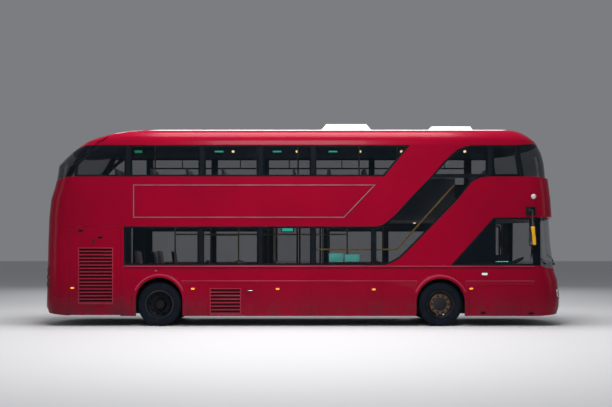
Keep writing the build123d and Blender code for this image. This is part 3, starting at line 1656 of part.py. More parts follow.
with BuildPart() as steering_wheel:
    with BuildSketch(Plane(WHEEL_CENTRE, x_dir=(0, 1, 0), z_dir=steer_plane.y_dir)) as grip:
        with Locations((STEER_R, 0)):
            Circle(STEER_TUBE)
    revolve(grip.sketch, axis=Axis(WHEEL_CENTRE, STEER_AXIS))
    with BuildSketch(steer_plane.offset(-14)) as spokes:
        Circle(60)
        with PolarLocations(STEER_R / 2, 3):
            Rectangle(STEER_R - 10, 34)
    extrude(spokes.sketch, amount=20)
keep(steering_wheel, "steering_wheel")

# Mirrors: one hangs from an arm ahead of each front side window
MIRROR_X = (station(4735), station(4835))
MIRROR_Y = (HALF + 40.0, HALF + 240.0)
MIRROR_Z = (1690.0, 2092.0)
MIRROR_CORNER = 55.0
MIRROR_EDGE = 22.0
ARM_R = 20.0
BRACKET_Z = 2417.0
BRACKET = (150.0, 184.0)
BRACKET_THICK = 16.0
MIRROR_MIDDLE = (MIRROR_X[0] + MIRROR_X[1]) / 2


def mirror_head(side):
    """A mirror's housing: rounded corners, and a softened front edge."""
    y = side * (MIRROR_Y[0] + MIRROR_Y[1]) / 2
    z = (MIRROR_Z[0] + MIRROR_Z[1]) / 2
    with BuildPart() as head:
        with BuildSketch(Plane((MIRROR_X[0], y, z), x_dir=(0, 1, 0), z_dir=(1, 0, 0))) as face:
            RectangleRounded(MIRROR_Y[1] - MIRROR_Y[0], MIRROR_Z[1] - MIRROR_Z[0], MIRROR_CORNER)
        extrude(face.sketch, amount=MIRROR_X[1] - MIRROR_X[0])
        chamfer(head.faces().sort_by(Axis.X)[-1].edges(), MIRROR_EDGE)
    return head.part


def mirror_arm(side):
    """The plate on the body and the bent arm down to the housing."""
    y = side * (MIRROR_Y[0] + MIRROR_Y[1]) / 2
    root = side * (HALF + FIT)
    plate = Plane((MIRROR_MIDDLE, root, BRACKET_Z), x_dir=(1, 0, 0), z_dir=(0, side, 0))
    with BuildPart() as arm:
        with BuildSketch(plate) as foot:
            RectangleRounded(*BRACKET, 40)
        extrude(foot.sketch, amount=BRACKET_THICK)
        rod((MIRROR_MIDDLE, root, BRACKET_Z), (MIRROR_MIDDLE, y, BRACKET_Z), ARM_R)
        rod((MIRROR_MIDDLE, y, BRACKET_Z), (MIRROR_MIDDLE, y, MIRROR_Z[1] - 5), ARM_R)
        with Locations((MIRROR_MIDDLE, y, BRACKET_Z)):
            Sphere(ARM_R)
    return arm.part


with BuildPart() as mirrors:
    for side in (-1, 1):
        add(mirror_head(side))
        add(mirror_arm(side))
keep(mirrors, "mirrors")


# Doors: every leaf turns on a pin at its middle, carried by two arms from an upright post
def door_leaf(name, post_x, toward, span):
    """A post with its arms, and its leaf, shut. toward is 1 where the leaf runs forward."""
    middle_x = post_x + toward * span / 2
    low_arm = FLOOR_TOP + DOOR_GAP
    high_arm = DOOR_HEAD - DOOR_GAP - ARM_THICK
    leaf_low = low_arm + ARM_THICK + DOOR_GAP
    leaf_high = high_arm - DOOR_GAP
    pin = 30.0
    with BuildPart() as post:
        rod((post_x, DOOR_PLANE, FLOOR_TOP + FIT), (post_x, DOOR_PLANE, DOOR_HEAD - FIT), POST_R)
        for z in (low_arm, high_arm):
            arm_x = sorted((post_x, middle_x))
            block(
                arm_x,
                (DOOR_PLANE - ARM_WIDTH / 2, DOOR_PLANE + ARM_WIDTH / 2),
                (z, z + ARM_THICK),
            )
            rod((middle_x, DOOR_PLANE, z), (middle_x, DOOR_PLANE, z + ARM_THICK), ARM_WIDTH / 2)
        rod((middle_x, DOOR_PLANE, low_arm), (middle_x, DOOR_PLANE, leaf_low + pin), PIN_R)
        rod((middle_x, DOOR_PLANE, leaf_high - pin), (middle_x, DOOR_PLANE, high_arm + 2), PIN_R)
    keep(post, name + "_post")

    near = post_x + toward * LEAF_EDGE
    far = post_x + toward * (span - LEAF_EDGE)
    leaf_x = sorted((near, far))
    border = 45.0
    web = 4.0
    with BuildPart() as leaf:
        block(
            leaf_x,
            (DOOR_PLANE - LEAF_THICK / 2, DOOR_PLANE + LEAF_THICK / 2),
            (leaf_low, leaf_high),
        )
        for y in (
            (DOOR_PLANE - LEAF_THICK, DOOR_PLANE - web),
            (DOOR_PLANE + web, DOOR_PLANE + LEAF_THICK),
        ):
            block(
                (leaf_x[0] + border, leaf_x[1] - border),
                y,
                (leaf_low + 3 * border, leaf_high - border),
                Mode.SUBTRACT,
            )
        for z in ((leaf_low - 1, leaf_low + pin + 1), (leaf_high - pin - 1, leaf_high + 1)):
            rod(
                (middle_x, DOOR_PLANE, z[0]),
                (middle_x, DOOR_PLANE, z[1]),
                PIN_R + FIT,
                Mode.SUBTRACT,
            )
    keep(leaf, name + "_leaf")


POST_INSET = POST_JAMB + POST_R


def double_door(name, opening):
    rear, front = opening
    span = (front - rear - 2 * POST_INSET - MEETING_GAP) / 2 + LEAF_EDGE
    door_leaf(name + "_rear", rear + POST_INSET, 1, span)
    door_leaf(name + "_front", front - POST_INSET, -1, span)
    print(name, "posts at", rear + POST_INSET, front - POST_INSET, "span", span)


double_door("front_door", FRONT_DOOR)
double_door("middle_door", MIDDLE_DOOR)
rear_span = REAR_DOOR[1] - REAR_DOOR[0] - POST_INSET - POST_JAMB + LEAF_EDGE
door_leaf("rear_door", REAR_DOOR[0] + POST_INSET, 1, rear_span)
print("rear_door post at", REAR_DOOR[0] + POST_INSET, "span", rear_span)

os.makedirs("parts", exist_ok=True)
for name, piece in pieces.items():
    export_step(piece, f"parts/{name}.step")
print(len(pieces), "pieces")
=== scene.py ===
"""Looks of a red double decker bus: paint, glass, tyres, lamps, trim and the fittings seen inside.

Metres. +X points forward, +Y to the nearside where the doors are, +Z up, with the origin on the
ground at mid length and mid width.
"""

import json
import math

import bpy
from mathutils import Matrix, Vector
from mathutils.bvhtree import BVHTree

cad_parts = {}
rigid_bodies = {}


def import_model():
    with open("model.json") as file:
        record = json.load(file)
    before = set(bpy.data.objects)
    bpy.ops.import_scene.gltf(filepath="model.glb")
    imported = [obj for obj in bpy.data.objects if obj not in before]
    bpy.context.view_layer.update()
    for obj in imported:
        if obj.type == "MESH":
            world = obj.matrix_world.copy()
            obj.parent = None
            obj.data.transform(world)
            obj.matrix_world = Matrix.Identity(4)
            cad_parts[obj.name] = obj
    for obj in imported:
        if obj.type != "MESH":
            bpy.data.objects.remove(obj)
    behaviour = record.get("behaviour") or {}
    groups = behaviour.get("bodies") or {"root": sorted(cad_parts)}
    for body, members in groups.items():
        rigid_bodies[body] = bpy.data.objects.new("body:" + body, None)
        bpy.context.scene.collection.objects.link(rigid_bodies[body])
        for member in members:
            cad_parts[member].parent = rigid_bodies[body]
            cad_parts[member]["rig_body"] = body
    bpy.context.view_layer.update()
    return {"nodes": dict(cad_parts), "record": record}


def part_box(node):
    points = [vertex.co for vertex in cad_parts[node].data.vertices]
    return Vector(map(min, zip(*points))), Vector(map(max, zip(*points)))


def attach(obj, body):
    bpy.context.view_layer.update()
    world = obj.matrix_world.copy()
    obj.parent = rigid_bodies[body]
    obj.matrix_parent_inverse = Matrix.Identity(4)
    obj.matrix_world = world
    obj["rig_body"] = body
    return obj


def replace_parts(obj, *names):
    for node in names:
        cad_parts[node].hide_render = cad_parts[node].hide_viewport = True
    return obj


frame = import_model()

# Camera, from the photograph: a level view square to the offside, aimed by the lens shift
CAMERA_PLACE = (0.0695, -19.080, 1.487)
CAMERA_LENS = 50.0
CAMERA_SENSOR = 36.0
CAMERA_SHIFT = 0.0848

# Sides, and the wheels' places, from the frame
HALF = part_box("roof_shell")[1].y
SIDES = {"offside": -1, "nearside": 1}
TYRE_LOW, TYRE_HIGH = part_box("front_tyre_offside")
WHEEL_R = (TYRE_HIGH.z - TYRE_LOW.z) / 2
TYRE_WIDTH = TYRE_HIGH.y - TYRE_LOW.y
TYRE_FACE = -TYRE_LOW.y
FRONT_X = (TYRE_LOW.x + TYRE_HIGH.x) / 2
REAR_X = sum(corner.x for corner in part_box("rear_tyres_offside")) / 2
TWIN_FACE = -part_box("rear_tyres_offside")[1].y + TYRE_WIDTH


# Shader maths
class Signal:
    """An output of a shader node. The operators add Math nodes to its material."""

    def __init__(self, look, node, output):
        self.look, self.node, self.output = look, node, output

    def take(self, name):
        return Signal(self.look, self.node, self.node.outputs[name])

    def maths(self, operation, *values):
        return self.look.node("ShaderNodeMath", {"operation": operation}, dict(enumerate(values)))

    def __add__(self, other):
        return self.maths("ADD", self, other)

    __radd__ = __add__

    def __sub__(self, other):
        return self.maths("SUBTRACT", self, other)

    def __rsub__(self, other):
        return self.maths("SUBTRACT", other, self)

    def __mul__(self, other):
        return self.maths("MULTIPLY", self, other)

    __rmul__ = __mul__

    def __gt__(self, other):
        return self.maths("GREATER_THAN", self, other)

    def __lt__(self, other):
        return self.maths("LESS_THAN", self, other)

    def __abs__(self):
        return self.maths("ABSOLUTE", self)

    def either(self, other):
        return self.maths("MAXIMUM", self, other)

    def ramp(self, low, high):
        """0 at low, 1 at high, smooth between them."""
        return self.look.node(
            "ShaderNodeMapRange",
            {"interpolation_type": "SMOOTHSTEP"},
            {"Value": self, "From Min": low, "From Max": high},
        )


class Look:
    """A material in the making. node() adds any node, with its settings before its sockets."""

    def __init__(self, name):
        self.material = bpy.data.materials.new(name)
        self.material.use_nodes = True
        self.tree = self.material.node_tree
        self.tree.nodes.clear()
        self.place = None

    def node(self, kind, settings=None, values=None):
        node = self.tree.nodes.new(kind)
        for name, value in (settings or {}).items():
            setattr(node, name, value)
        for key, value in (values or {}).items():
            if isinstance(value, Signal):
                self.tree.links.new(value.output, node.inputs[key])
            else:
                node.inputs[key].default_value = value
        shown = [output for output in node.outputs if output.enabled]
        return Signal(self, node, shown[0] if shown else None)

    def object_place(self):
        if self.place is None:
            self.place = self.node("ShaderNodeTexCoord").take("Object")
        return self.place

    def parts(self, vector):
        split = self.node("ShaderNodeSeparateXYZ", None, {0: vector})
        return split.take("X"), split.take("Y"), split.take("Z")

    def noise(self, scale, detail=3.0, stretch=(1, 1, 1)):
        spot = self.node(
            "ShaderNodeMapping", None, {"Vector": self.object_place(), "Scale": stretch}
        )
        return self.node(
            "ShaderNodeTexNoise", None, {"Vector": spot, "Scale": scale, "Detail": detail}
        )

    def mix(self, share, first, second):
        colours = [value if isinstance(value, Signal) else (*value, 1) for value in (first, second)]
        return self.node(
            "ShaderNodeMix", {"data_type": "RGBA"}, {0: share, 6: colours[0], 7: colours[1]}
        )

    def bump(self, height, strength, depth):
        return self.node(
            "ShaderNodeBump", None, {"Height": height, "Strength": strength, "Distance": depth}
        )

    def finish(self, values):
        """Closes the material with a Principled surface of these sockets."""
        shader = self.node("ShaderNodeBsdfPrincipled", None, values)
        self.node("ShaderNodeOutputMaterial", None, {"Surface": shader})
        return self.material


# Finishes
BODY_RED = (0.300, 0.0010, 0.0190)
# A darker red for the paint's random tone and for painted shade low down and at the ends
TONE_AND_SHADE_RED = (0.205, 0.0010, 0.0150)
# Painted light for the grilles: a pale red highlight on blade edges and frames, and near black
# shade deep in each slot
EDGE_HIGHLIGHT_RED = (0.42, 0.090, 0.130)
SLOT_SHADE_BLACK = (0.014, 0.0030, 0.0060)
ROAD_DIRT = (0.045, 0.018, 0.024)
GRILLES = [
    # rear, front, bottom and top of each grille, with its frame
    (-4.711, -3.972, 0.461, 1.654),
    (-1.951, -1.291, 0.235, 0.801),
]
LINING_GREY = (0.040, 0.046, 0.052)
LINING_MIDDLE_Z = 2.2
LINING_DEPTH = 0.028
LINING_END_X = 4.9
LINING_ROOF_Z = 3.85
WHITE = (0.86, 0.86, 0.84)
GLASS_BLACK = (0.0012, 0.0036, 0.0078)
TYRE_BLACK = (0.0030, 0.0056, 0.0110)
DUST = (0.018, 0.021, 0.026)
NUT_RING_GOLD = (0.135, 0.080, 0.040)
TEAL = (0.13, 0.62, 0.54)


def body_paint():
    """Deep red gloss paint outside, grey lining inside, with road dirt thrown up the skirts,
    painted shade low down and at the ends, and painted highlights and shade in the grilles.
    """
    look = Look("body_red")
    x, y, z = look.parts(look.object_place())
    nx, ny, nz = look.parts(look.object_place().take("Normal"))
    inward = (nx * x + ny * y + nz * (z - LINING_MIDDLE_Z)) < 0.0
    deep = (abs(y) < HALF - LINING_DEPTH).either(abs(x) > LINING_END_X)
    lining = inward * deep.either(z > LINING_ROOF_Z)
    cloud = look.noise(0.9, 4.0)
    streaks = look.noise(2.2, 4.0, (1.6, 1.6, 0.25))
    low = 1 - z.ramp(0.20, 0.78)
    by_wheel = 1 - abs(abs(x - REAR_X) - 0.75).ramp(0.05, 0.75)
    by_tail = 1 - x.ramp(-5.4, -3.9)
    grime = (low * (0.50 + by_wheel * 0.40 + by_tail * 0.35)) * streaks.ramp(0.30, 0.72)
    # Painted shade: the paint is mixed towards the darker red low down and towards both ends,
    # besides its random tone
    shade = 1 - z.ramp(0.15, 1.30)
    ends = abs(x).ramp(2.6, 5.4)
    paint = look.mix(
        (cloud.ramp(0.30, 0.70) * 0.35 + shade * 0.60 + ends * 0.35), BODY_RED, TONE_AND_SHADE_RED
    )
    dirty = look.mix(grime * 0.80, paint, ROAD_DIRT)
    # In the grilles, painted highlights where the blades' edges and the frame catch the light, and
    # painted shade, near black, deep in each slot
    depth = HALF - abs(y)
    grille = 0.0
    for rear, front, bottom, top in GRILLES:
        grille = grille + (x > rear) * (x < front) * (z > bottom) * (z < top)
    edges = grille * ((depth > 0.0015) * (depth < 0.0045) * 0.24 + (depth < -0.005) * 0.25)
    slot_shade = grille * depth.ramp(0.0045, 0.018)
    grille_lit_and_shaded = look.mix(slot_shade * 0.92, look.mix(edges, dirty, EDGE_HIGHLIGHT_RED), SLOT_SHADE_BLACK)
    return look.finish(
        {
            "Base Color": look.mix(lining, grille_lit_and_shaded, LINING_GREY),
            "Roughness": 0.19 + grime * 0.42 + cloud * 0.05 + lining * 0.35 + slot_shade * 0.4,
            "Specular IOR Level": 0.09,
            "Coat Weight": 0.04,
            "Coat Roughness": 0.05,
            "Normal": look.bump(look.noise(240.0, 2.0), 0.05, 0.0006),
        }
    )


def roof_white():
    look = Look("roof_white")
    soot = look.noise(1.7, 5.0, (0.35, 1.5, 1.0))
    return look.finish(
        {
            "Base Color": look.mix(soot.ramp(0.45, 0.85) * 0.25, WHITE, (0.46, 0.45, 0.43)),
            "Roughness": 0.34 + soot * 0.16,
            "Normal": look.bump(look.noise(150.0), 0.06, 0.0006),
        }
    )


def gloss_black(name="glass_black"):
    look = Look(name)
    film = look.noise(3.0, 4.0)
    return look.finish(
        {
            "Base Color": look.mix(film, GLASS_BLACK, (0.0022, 0.0055, 0.0105)),
            "Roughness": 0.10 + film * 0.06,
            "Specular IOR Level": 0.16,
            "Normal": look.bump(film, 0.02, 0.0008),
        }
    )


def window_glass(name, tint, alpha, smears=0.05):
    """Pane glass: a tinted film that lets light straight through, with wiped smears."""
    look = Look(name)
    smear = look.noise(1.6, 5.0, (0.6, 0.6, 1.6))
    return look.finish(
        {
            "Base Color": look.mix(smear * 0.6, tint, tuple(part * 2.0 for part in tint)),
            "Roughness": 0.03 + smear.ramp(0.5, 0.9) * smears,
            "Alpha": alpha + smear.ramp(0.45, 0.95) * 0.05,
            "Specular IOR Level": 0.42,
            "IOR": 1.5,
        }
    )


def door_finish(name, low, high):
    """A black door frame whose web, inside its border, is a tinted pane."""
    border = 0.045
    look = Look(name)
    x, _, z = look.parts(look.object_place())
    across = (x > low.x + border) * (x < high.x - border)
    pane = across * (z > low.z + 3 * border) * (z < high.z - border)
    film = look.noise(3.0, 4.0)
    return look.finish(
        {
            "Base Color": look.mix(pane, GLASS_BLACK, (0.008, 0.014, 0.019)),
            "Roughness": 0.10 + film * 0.06,
            "Alpha": 1 - pane * 0.72,
            "Specular IOR Level": 0.35,
            "Normal": look.bump(film, 0.02, 0.0008),
        }
    )


def lamp_glass(name, colour, alpha, glow=0.0):
    """A ribbed lamp lens, lit from inside where glow is above nought."""
    look = Look(name)
    ribs = look.node(
        "ShaderNodeTexWave",
        {"bands_direction": "Z"},
        {"Vector": look.object_place(), "Scale": 60.0},
    )
    return look.finish(
        {
            "Base Color": look.mix(ribs * 0.25, colour, tuple(part * 0.7 for part in colour)),
            "Roughness": 0.08 + look.noise(20.0) * 0.05,
            "Alpha": alpha,
            "Emission Color": (*colour, 1),
            "Emission Strength": glow,
            "Normal": look.bump(ribs, 0.15, 0.0010),
        }
    )


def coated(
    name,
    clean,
    worn,
    scale=6.0,
    roughness=0.45,
    metallic=0.0,
    relief=(120.0, 0.12),
    share=1.0,
    shine=0.30,
):
    """Paint, metal, rubber or plastic: two colours in worn patches over a fine relief."""
    look = Look(name)
    patch = look.noise(scale, 5.0)
    return look.finish(
        {
            "Base Color": look.mix(patch.ramp(0.32, 0.78) * share, clean, worn),
            "Metallic": metallic,
            "Roughness": roughness + patch * 0.20,
            "Specular IOR Level": shine,
            "Normal": look.bump(look.noise(relief[0]), relief[1], 0.0010),
        }
    )


def moulded(name, colour, roughness=0.48):
    """Grained moulded plastic."""
    darker = tuple(part * 0.70 for part in colour)
    return coated(name, colour, darker, roughness=roughness, relief=(420.0, 0.18))


def floor_cover():
    """Speckled safety flooring."""
    look = Look("floor_cover")
    speck = look.noise(700.0, 1.0)
    wear = look.noise(2.5, 4.0)
    base = look.mix(wear, (0.040, 0.034, 0.036), (0.026, 0.023, 0.026))
    return look.finish(
        {
            "Base Color": look.mix(speck > 0.66, base, (0.18, 0.16, 0.15)),
            "Roughness": 0.55 + wear * 0.2,
            "Normal": look.bump(speck, 0.2, 0.0006),
        }
    )


def moquette():
    """Seat cloth: short pile in a plain check of dark reds and greys, with its weave."""
    look = Look("moquette")
    check = look.node(
        "ShaderNodeTexChecker", None, {"Vector": look.object_place(), "Scale": 26.0}
    ).take("Fac")
    weave = look.noise(900.0, 2.0)
    warm = look.mix(check, (0.085, 0.012, 0.018), (0.030, 0.012, 0.016))
    return look.finish(
        {
            "Base Color": look.mix(weave * 0.5, warm, (0.016, 0.013, 0.016)),
            "Roughness": 0.88 - weave * 0.08,
            "Sheen Weight": 0.35,
            "Sheen Roughness": 0.4,
            "Normal": look.bump(weave, 0.35, 0.0012),
        }
    )


METAL_BLACK, METAL_WORN = (0.008, 0.010, 0.013), (0.030, 0.027, 0.026)


def black_metal(name):
    return coated(name, METAL_BLACK, METAL_WORN, 5.0, 0.50, 0.15, (60.0, 0.25))


FINISHES = {
    "red_paint": body_paint(),
    "white_paint": roof_white(),
    "black_paint": gloss_black(),
    "tinted_glass": window_glass("tinted_glass", (0.0030, 0.0070, 0.0110), 0.22),
    "clear_glass": window_glass("clear_glass", (0.0060, 0.0115, 0.0160), 0.20),
    "door_leaf": gloss_black("door_frame_black"),
    "stair_trim": moulded("stair_trim", (0.022, 0.026, 0.031)),
    "grey_trim": moulded("grey_trim", (0.034, 0.038, 0.044)),
    "floor_cover": floor_cover(),
    "cast_metal": black_metal("engine_metal"),
    "chassis_paint": black_metal("chassis_paint"),
    "seat_fabric": moquette(),
    "black_fabric": moulded("driver_cloth", (0.016, 0.017, 0.019), 0.75),
    "yellow_rail": coated(
        "rail_yellow", (0.30, 0.175, 0.035), (0.22, 0.125, 0.03), 30.0, 0.34, 0.0, (300.0, 0.08)
    ),
    "black_trim": moulded("black_trim", (0.009, 0.011, 0.014)),
    "tyre_rubber": coated(
        "tyre_rubber", TYRE_BLACK, DUST, 4.0, 0.62, 0.0, (90.0, 0.25), share=0.30, shine=0.10
    ),
    "wheel_paint": coated(
        "rim_paint", (0.0030, 0.0045, 0.0080), (0.014, 0.014, 0.018), 7.0, 0.42, 0.1, shine=0.14
    ),
    "lamp_clear": lamp_glass("lamp_clear", (0.72, 0.76, 0.80), 0.45),
    "lamp_red": lamp_glass("lamp_red", (0.42, 0.006, 0.008), 0.92),
}
AMBER = lamp_glass("lamp_amber", (1.0, 0.34, 0.04), 0.96, 0.9)
NUT_RING = coated(
    "nut_ring_metal", NUT_RING_GOLD, (0.045, 0.032, 0.024), 26.0, 0.38, 0.35, (90.0, 0.2)
)
RIM_BAND = coated(
    "rim_band", (0.010, 0.014, 0.022), (0.036, 0.032, 0.032), 3.0, 0.45, 0.2, shine=0.20
)
SEAL = moulded("rubber_seal", (0.005, 0.007, 0.010), 0.62)
# Painted shade, laid in the bottoms of grooves and seams
SEAM_SHADE_DARK = moulded("seam_shadow", (0.016, 0.002, 0.005), 0.75)
# A pale red painted highlight for the lit edges of the rails and the arch lips
PALE_RED_HIGHLIGHT = coated(
    "pale_red_painted_highlight", (0.40, 0.040, 0.085), (0.30, 0.012, 0.045), 2.0, 0.25, 0.0, (240.0, 0.05)
)
FRAME_GREY = coated("poster_frame_metal", (0.26, 0.19, 0.23), (0.17, 0.10, 0.13), 3.0, 0.30, 0.4)
CHROME = coated(
    "lamp_chrome", (0.62, 0.64, 0.66), (0.45, 0.46, 0.48), 8.0, 0.10, 1.0, (200.0, 0.03)
)
MIRROR = coated(
    "mirror_silver", (0.70, 0.72, 0.74), (0.60, 0.62, 0.64), 3.0, 0.03, 1.0, (50.0, 0.0)
)
MIRROR_YELLOW = moulded("mirror_yellow", (0.86, 0.44, 0.012), 0.35)
CAMERA_WHITE = moulded("camera_white", (0.62, 0.66, 0.66), 0.25)
STICKER = coated("blank_sticker", TEAL, (0.10, 0.50, 0.44), 8.0, 0.55, 0.0, (300.0, 0.05))
LIT_TEAL = lamp_glass("lit_teal", (0.05, 0.60, 0.46), 1.0, 0.8)
LIT_GREEN = lamp_glass("lit_green", (0.10, 0.95, 0.72), 1.0, 2.2)
LIT_WARM = lamp_glass("lit_warm", (1.0, 0.72, 0.42), 1.0, 1.6)
EXIT_GREEN = lamp_glass("exit_green", (0.03, 0.50, 0.22), 1.0, 0.45)


# Modelling
def choose(piece):
    clear_selection()
    piece.select_set(True)
    bpy.context.view_layer.objects.active = piece


def clear_selection():
    if bpy.context.object and bpy.context.object.mode != "OBJECT":
        bpy.ops.object.mode_set(mode="OBJECT")
    bpy.ops.object.select_all(action="DESELECT")


def settle(piece, name, finish, body):
    """Names a finished piece, puts its place in its mesh, and gives it finish, body and slot."""
    choose(piece)
    bpy.ops.object.transform_apply(location=True, rotation=True, scale=True)
    piece.name = piece.data.name = name
    piece.data.materials.clear()
    piece.data.materials.append(finish)
    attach(piece, body)
    return piece


def modify(piece, kind, **settings):
    """Adds one modifier and applies it."""
    choose(piece)
    modifier = piece.modifiers.new(kind.lower(), kind)
    for name, value in settings.items():
        setattr(modifier, name, value)
    bpy.ops.object.modifier_apply(modifier=modifier.name)
    return piece


def smooth(piece, angle=35.0):
    choose(piece)
    bpy.ops.object.shade_smooth_by_angle(angle=math.radians(angle))
    return piece


def place(piece, matrix):
    piece.data.transform(matrix)
    return piece


def slab(low, high, edge=0.003, steps=2):
    """A block between two corners, with its edges rounded."""
    clear_selection()
    middle = [(a + b) / 2 for a, b in zip(low, high)]
    bpy.ops.mesh.primitive_cube_add(size=1, location=middle)
    piece = bpy.context.object
    piece.scale = [abs(b - a) for a, b in zip(low, high)]
    bpy.ops.object.transform_apply(location=True, rotation=True, scale=True)
    if edge:
        modify(piece, "BEVEL", width=edge, segments=steps, limit_method="ANGLE")
    return smooth(piece)


def spun(profile, centre, axis, steps=32):
    """A turned piece: (distance along the axis, radius) points turned once round and closed."""
    clear_selection()
    bpy.ops.mesh.primitive_circle_add(vertices=len(profile), radius=1, fill_type="NOTHING")
    piece = bpy.context.object
    for vertex, (run, radius) in zip(piece.data.vertices, profile):
        vertex.co = (radius, 0, run)
    bpy.ops.object.mode_set(mode="EDIT")
    bpy.ops.mesh.select_all(action="SELECT")
    bpy.ops.mesh.spin(
        steps=steps, angle=2 * math.pi, center=(0, 0, 0), axis=(0, 0, 1), use_auto_merge=False
    )
    bpy.ops.mesh.select_all(action="SELECT")
    bpy.ops.mesh.remove_doubles(threshold=0.00005)
    bpy.ops.mesh.normals_make_consistent(inside=False)
    bpy.ops.object.mode_set(mode="OBJECT")
    turn = Vector((0, 0, 1)).rotation_difference(Vector(axis)).to_matrix().to_4x4()
    return smooth(place(piece, Matrix.Translation(centre) @ turn))


def turned(profile, steps):
    """A turned piece about Z, at the origin."""
    return spun(profile, (0, 0, 0), (0, 0, 1), steps)


def bar(start, end, radius, steps=14):
    """A round bar between two points, with small chamfers at its ends."""
    run = Vector(end) - Vector(start)
    chamfer = min(radius, run.length) * 0.25
    profile = [
        (0, 0),
        (0, radius - chamfer),
        (chamfer, radius),
        (run.length - chamfer, radius),
        (run.length, radius - chamfer),
        (run.length, 0),
    ]
    return spun(profile, start, run.normalized(), steps)


def join(pieces):
    clear_selection()
    for piece in pieces:
        piece.select_set(True)
    bpy.context.view_layer.objects.active = pieces[0]
    if len(pieces) > 1:
        bpy.ops.object.join()
    return bpy.context.object


def copy_of(piece, matrix):
    twin = piece.copy()
    twin.data = piece.data.copy()
    twin.data.transform(matrix)
    bpy.context.collection.objects.link(twin)
    return twin


def copies(piece, matrices):
    """The piece at each matrix, each copy with its own mesh, joined; the first is used up."""
    made = [copy_of(piece, matrix) for matrix in matrices]
    bpy.data.objects.remove(piece)
    return join(made)


def moved(x=0.0, y=0.0, z=0.0):
    return Matrix.Translation((x, y, z))


def mirrored(side):
    """The identity for the offside, a mirror across the middle for the nearside."""
    return Matrix.Identity(4) if side < 0 else Matrix.Scale(-1, 4, (0, 1, 0))


def both_sides(piece):
    """The piece and its mirror image, facing outwards, joined."""
    twin = copy_of(piece, mirrored(1))
    twin.data.flip_normals()
    return join([piece, twin])


def outlined(points, y, thick, band):
    """A flat frame along a closed side view outline, its band inwards, thick towards +Y from y."""
    clear_selection()
    bpy.ops.mesh.primitive_circle_add(vertices=len(points), radius=1, fill_type="NGON")
    piece = bpy.context.object
    for vertex, (x, z) in zip(piece.data.vertices, points):
        vertex.co = (x, y, z)
    bpy.ops.object.mode_set(mode="EDIT")
    bpy.ops.mesh.select_all(action="SELECT")
    bpy.ops.mesh.normals_make_consistent(inside=False)
    bpy.ops.mesh.inset(thickness=band, use_even_offset=True)
    bpy.ops.mesh.delete(type="FACE")
    bpy.ops.mesh.select_all(action="SELECT")
    bpy.ops.mesh.extrude_region_move(TRANSFORM_OT_translate={"value": (0, thick, 0)})
    bpy.ops.mesh.select_all(action="SELECT")
    bpy.ops.mesh.normals_make_consistent(inside=False)
    bpy.ops.object.mode_set(mode="OBJECT")
    return piece


def disc_outline(x, z, wide, high, count=20):
    """Points round a stadium or oval of the given size."""
    radius = min(wide, high) / 2
    points = []
    for k in range(count):
        turn = 2 * math.pi * (k + 0.5) / count
        across, up = math.cos(turn), math.sin(turn)
        shift_x = math.copysign(wide / 2 - radius, across)
        shift_z = math.copysign(high / 2 - radius, up)
        points.append((x + shift_x + radius * across, z + shift_z + radius * up))
    return points


def oval(x, z, wide, high, y, proud, dish=0.0):
    """A rounded plate on a side face at y, standing proud, dished in its middle if asked."""
    clear_selection()
    points = disc_outline(x, z, wide, high)
    bpy.ops.mesh.primitive_circle_add(vertices=len(points), radius=1, fill_type="NGON")
    piece = bpy.context.object
    for vertex, (px, pz) in zip(piece.data.vertices, points):
        vertex.co = (px, y, pz)
    edge = min(wide, high) * 0.12
    bpy.ops.object.mode_set(mode="EDIT")
    bpy.ops.mesh.select_all(action="SELECT")
    bpy.ops.mesh.extrude_region_move(TRANSFORM_OT_translate={"value": (0, -proud * 0.6, 0)})
    bpy.ops.mesh.inset(thickness=edge)
    bpy.ops.transform.translate(value=(0, -proud * 0.4, 0))
    if dish:
        bpy.ops.mesh.inset(thickness=edge)
        bpy.ops.transform.translate(value=(0, dish, 0))
    bpy.ops.mesh.select_all(action="SELECT")
    bpy.ops.mesh.normals_make_consistent(inside=False)
    bpy.ops.object.mode_set(mode="OBJECT")
    return smooth(piece, 50)


def skin_probe(node):
    """A finder of points on a CAD node's surface."""
    mesh = frame["nodes"][node].data
    mesh.calc_loop_triangles()
    corners = [vertex.co.copy() for vertex in mesh.vertices]
    return BVHTree.FromPolygons(corners, [tuple(face.vertices) for face in mesh.loop_triangles])


# The stage
FLOOR_GREY = (0.62, 0.62, 0.63)
BACKDROP_GREY = (0.20, 0.205, 0.22)


def make_camera():
    data = bpy.data.cameras.new("camera")
    data.lens, data.sensor_width, data.shift_y = CAMERA_LENS, CAMERA_SENSOR, CAMERA_SHIFT
    camera = bpy.data.objects.new("camera", data)
    camera.location = CAMERA_PLACE
    camera.rotation_euler = (math.radians(90), 0, 0)
    bpy.context.scene.collection.objects.link(camera)
    bpy.context.scene.camera = camera


def make_floor():
    clear_selection()
    bpy.ops.mesh.primitive_plane_add(size=400)
    floor = bpy.context.object
    floor.name = "floor"
    look = Look("floor_paint")
    pale = look.mix(look.noise(0.4) * 0.2, FLOOR_GREY, (0.57, 0.57, 0.58))
    floor.data.materials.append(look.finish({"Base Color": pale, "Roughness": 0.70}))


def make_world():
    world = bpy.data.worlds.new("studio")
    world.use_nodes = True
    sky = world.node_tree.nodes["Background"]
    sky.inputs["Color"].default_value = (*BACKDROP_GREY, 1)
    sky.inputs["Strength"].default_value = 1.0
    bpy.context.scene.world = world


def make_lamp(name, spot, target, size, power):
    data = bpy.data.lights.new(name, "AREA")
    data.shape = "RECTANGLE"
    data.size, data.size_y = size
    data.energy = power
    lamp = bpy.data.objects.new(name, data)
    lamp.location = spot
    aim = Vector(target) - Vector(spot)
    lamp.rotation_euler = aim.to_track_quat("-Z", "Y").to_euler()
    bpy.context.scene.collection.objects.link(lamp)


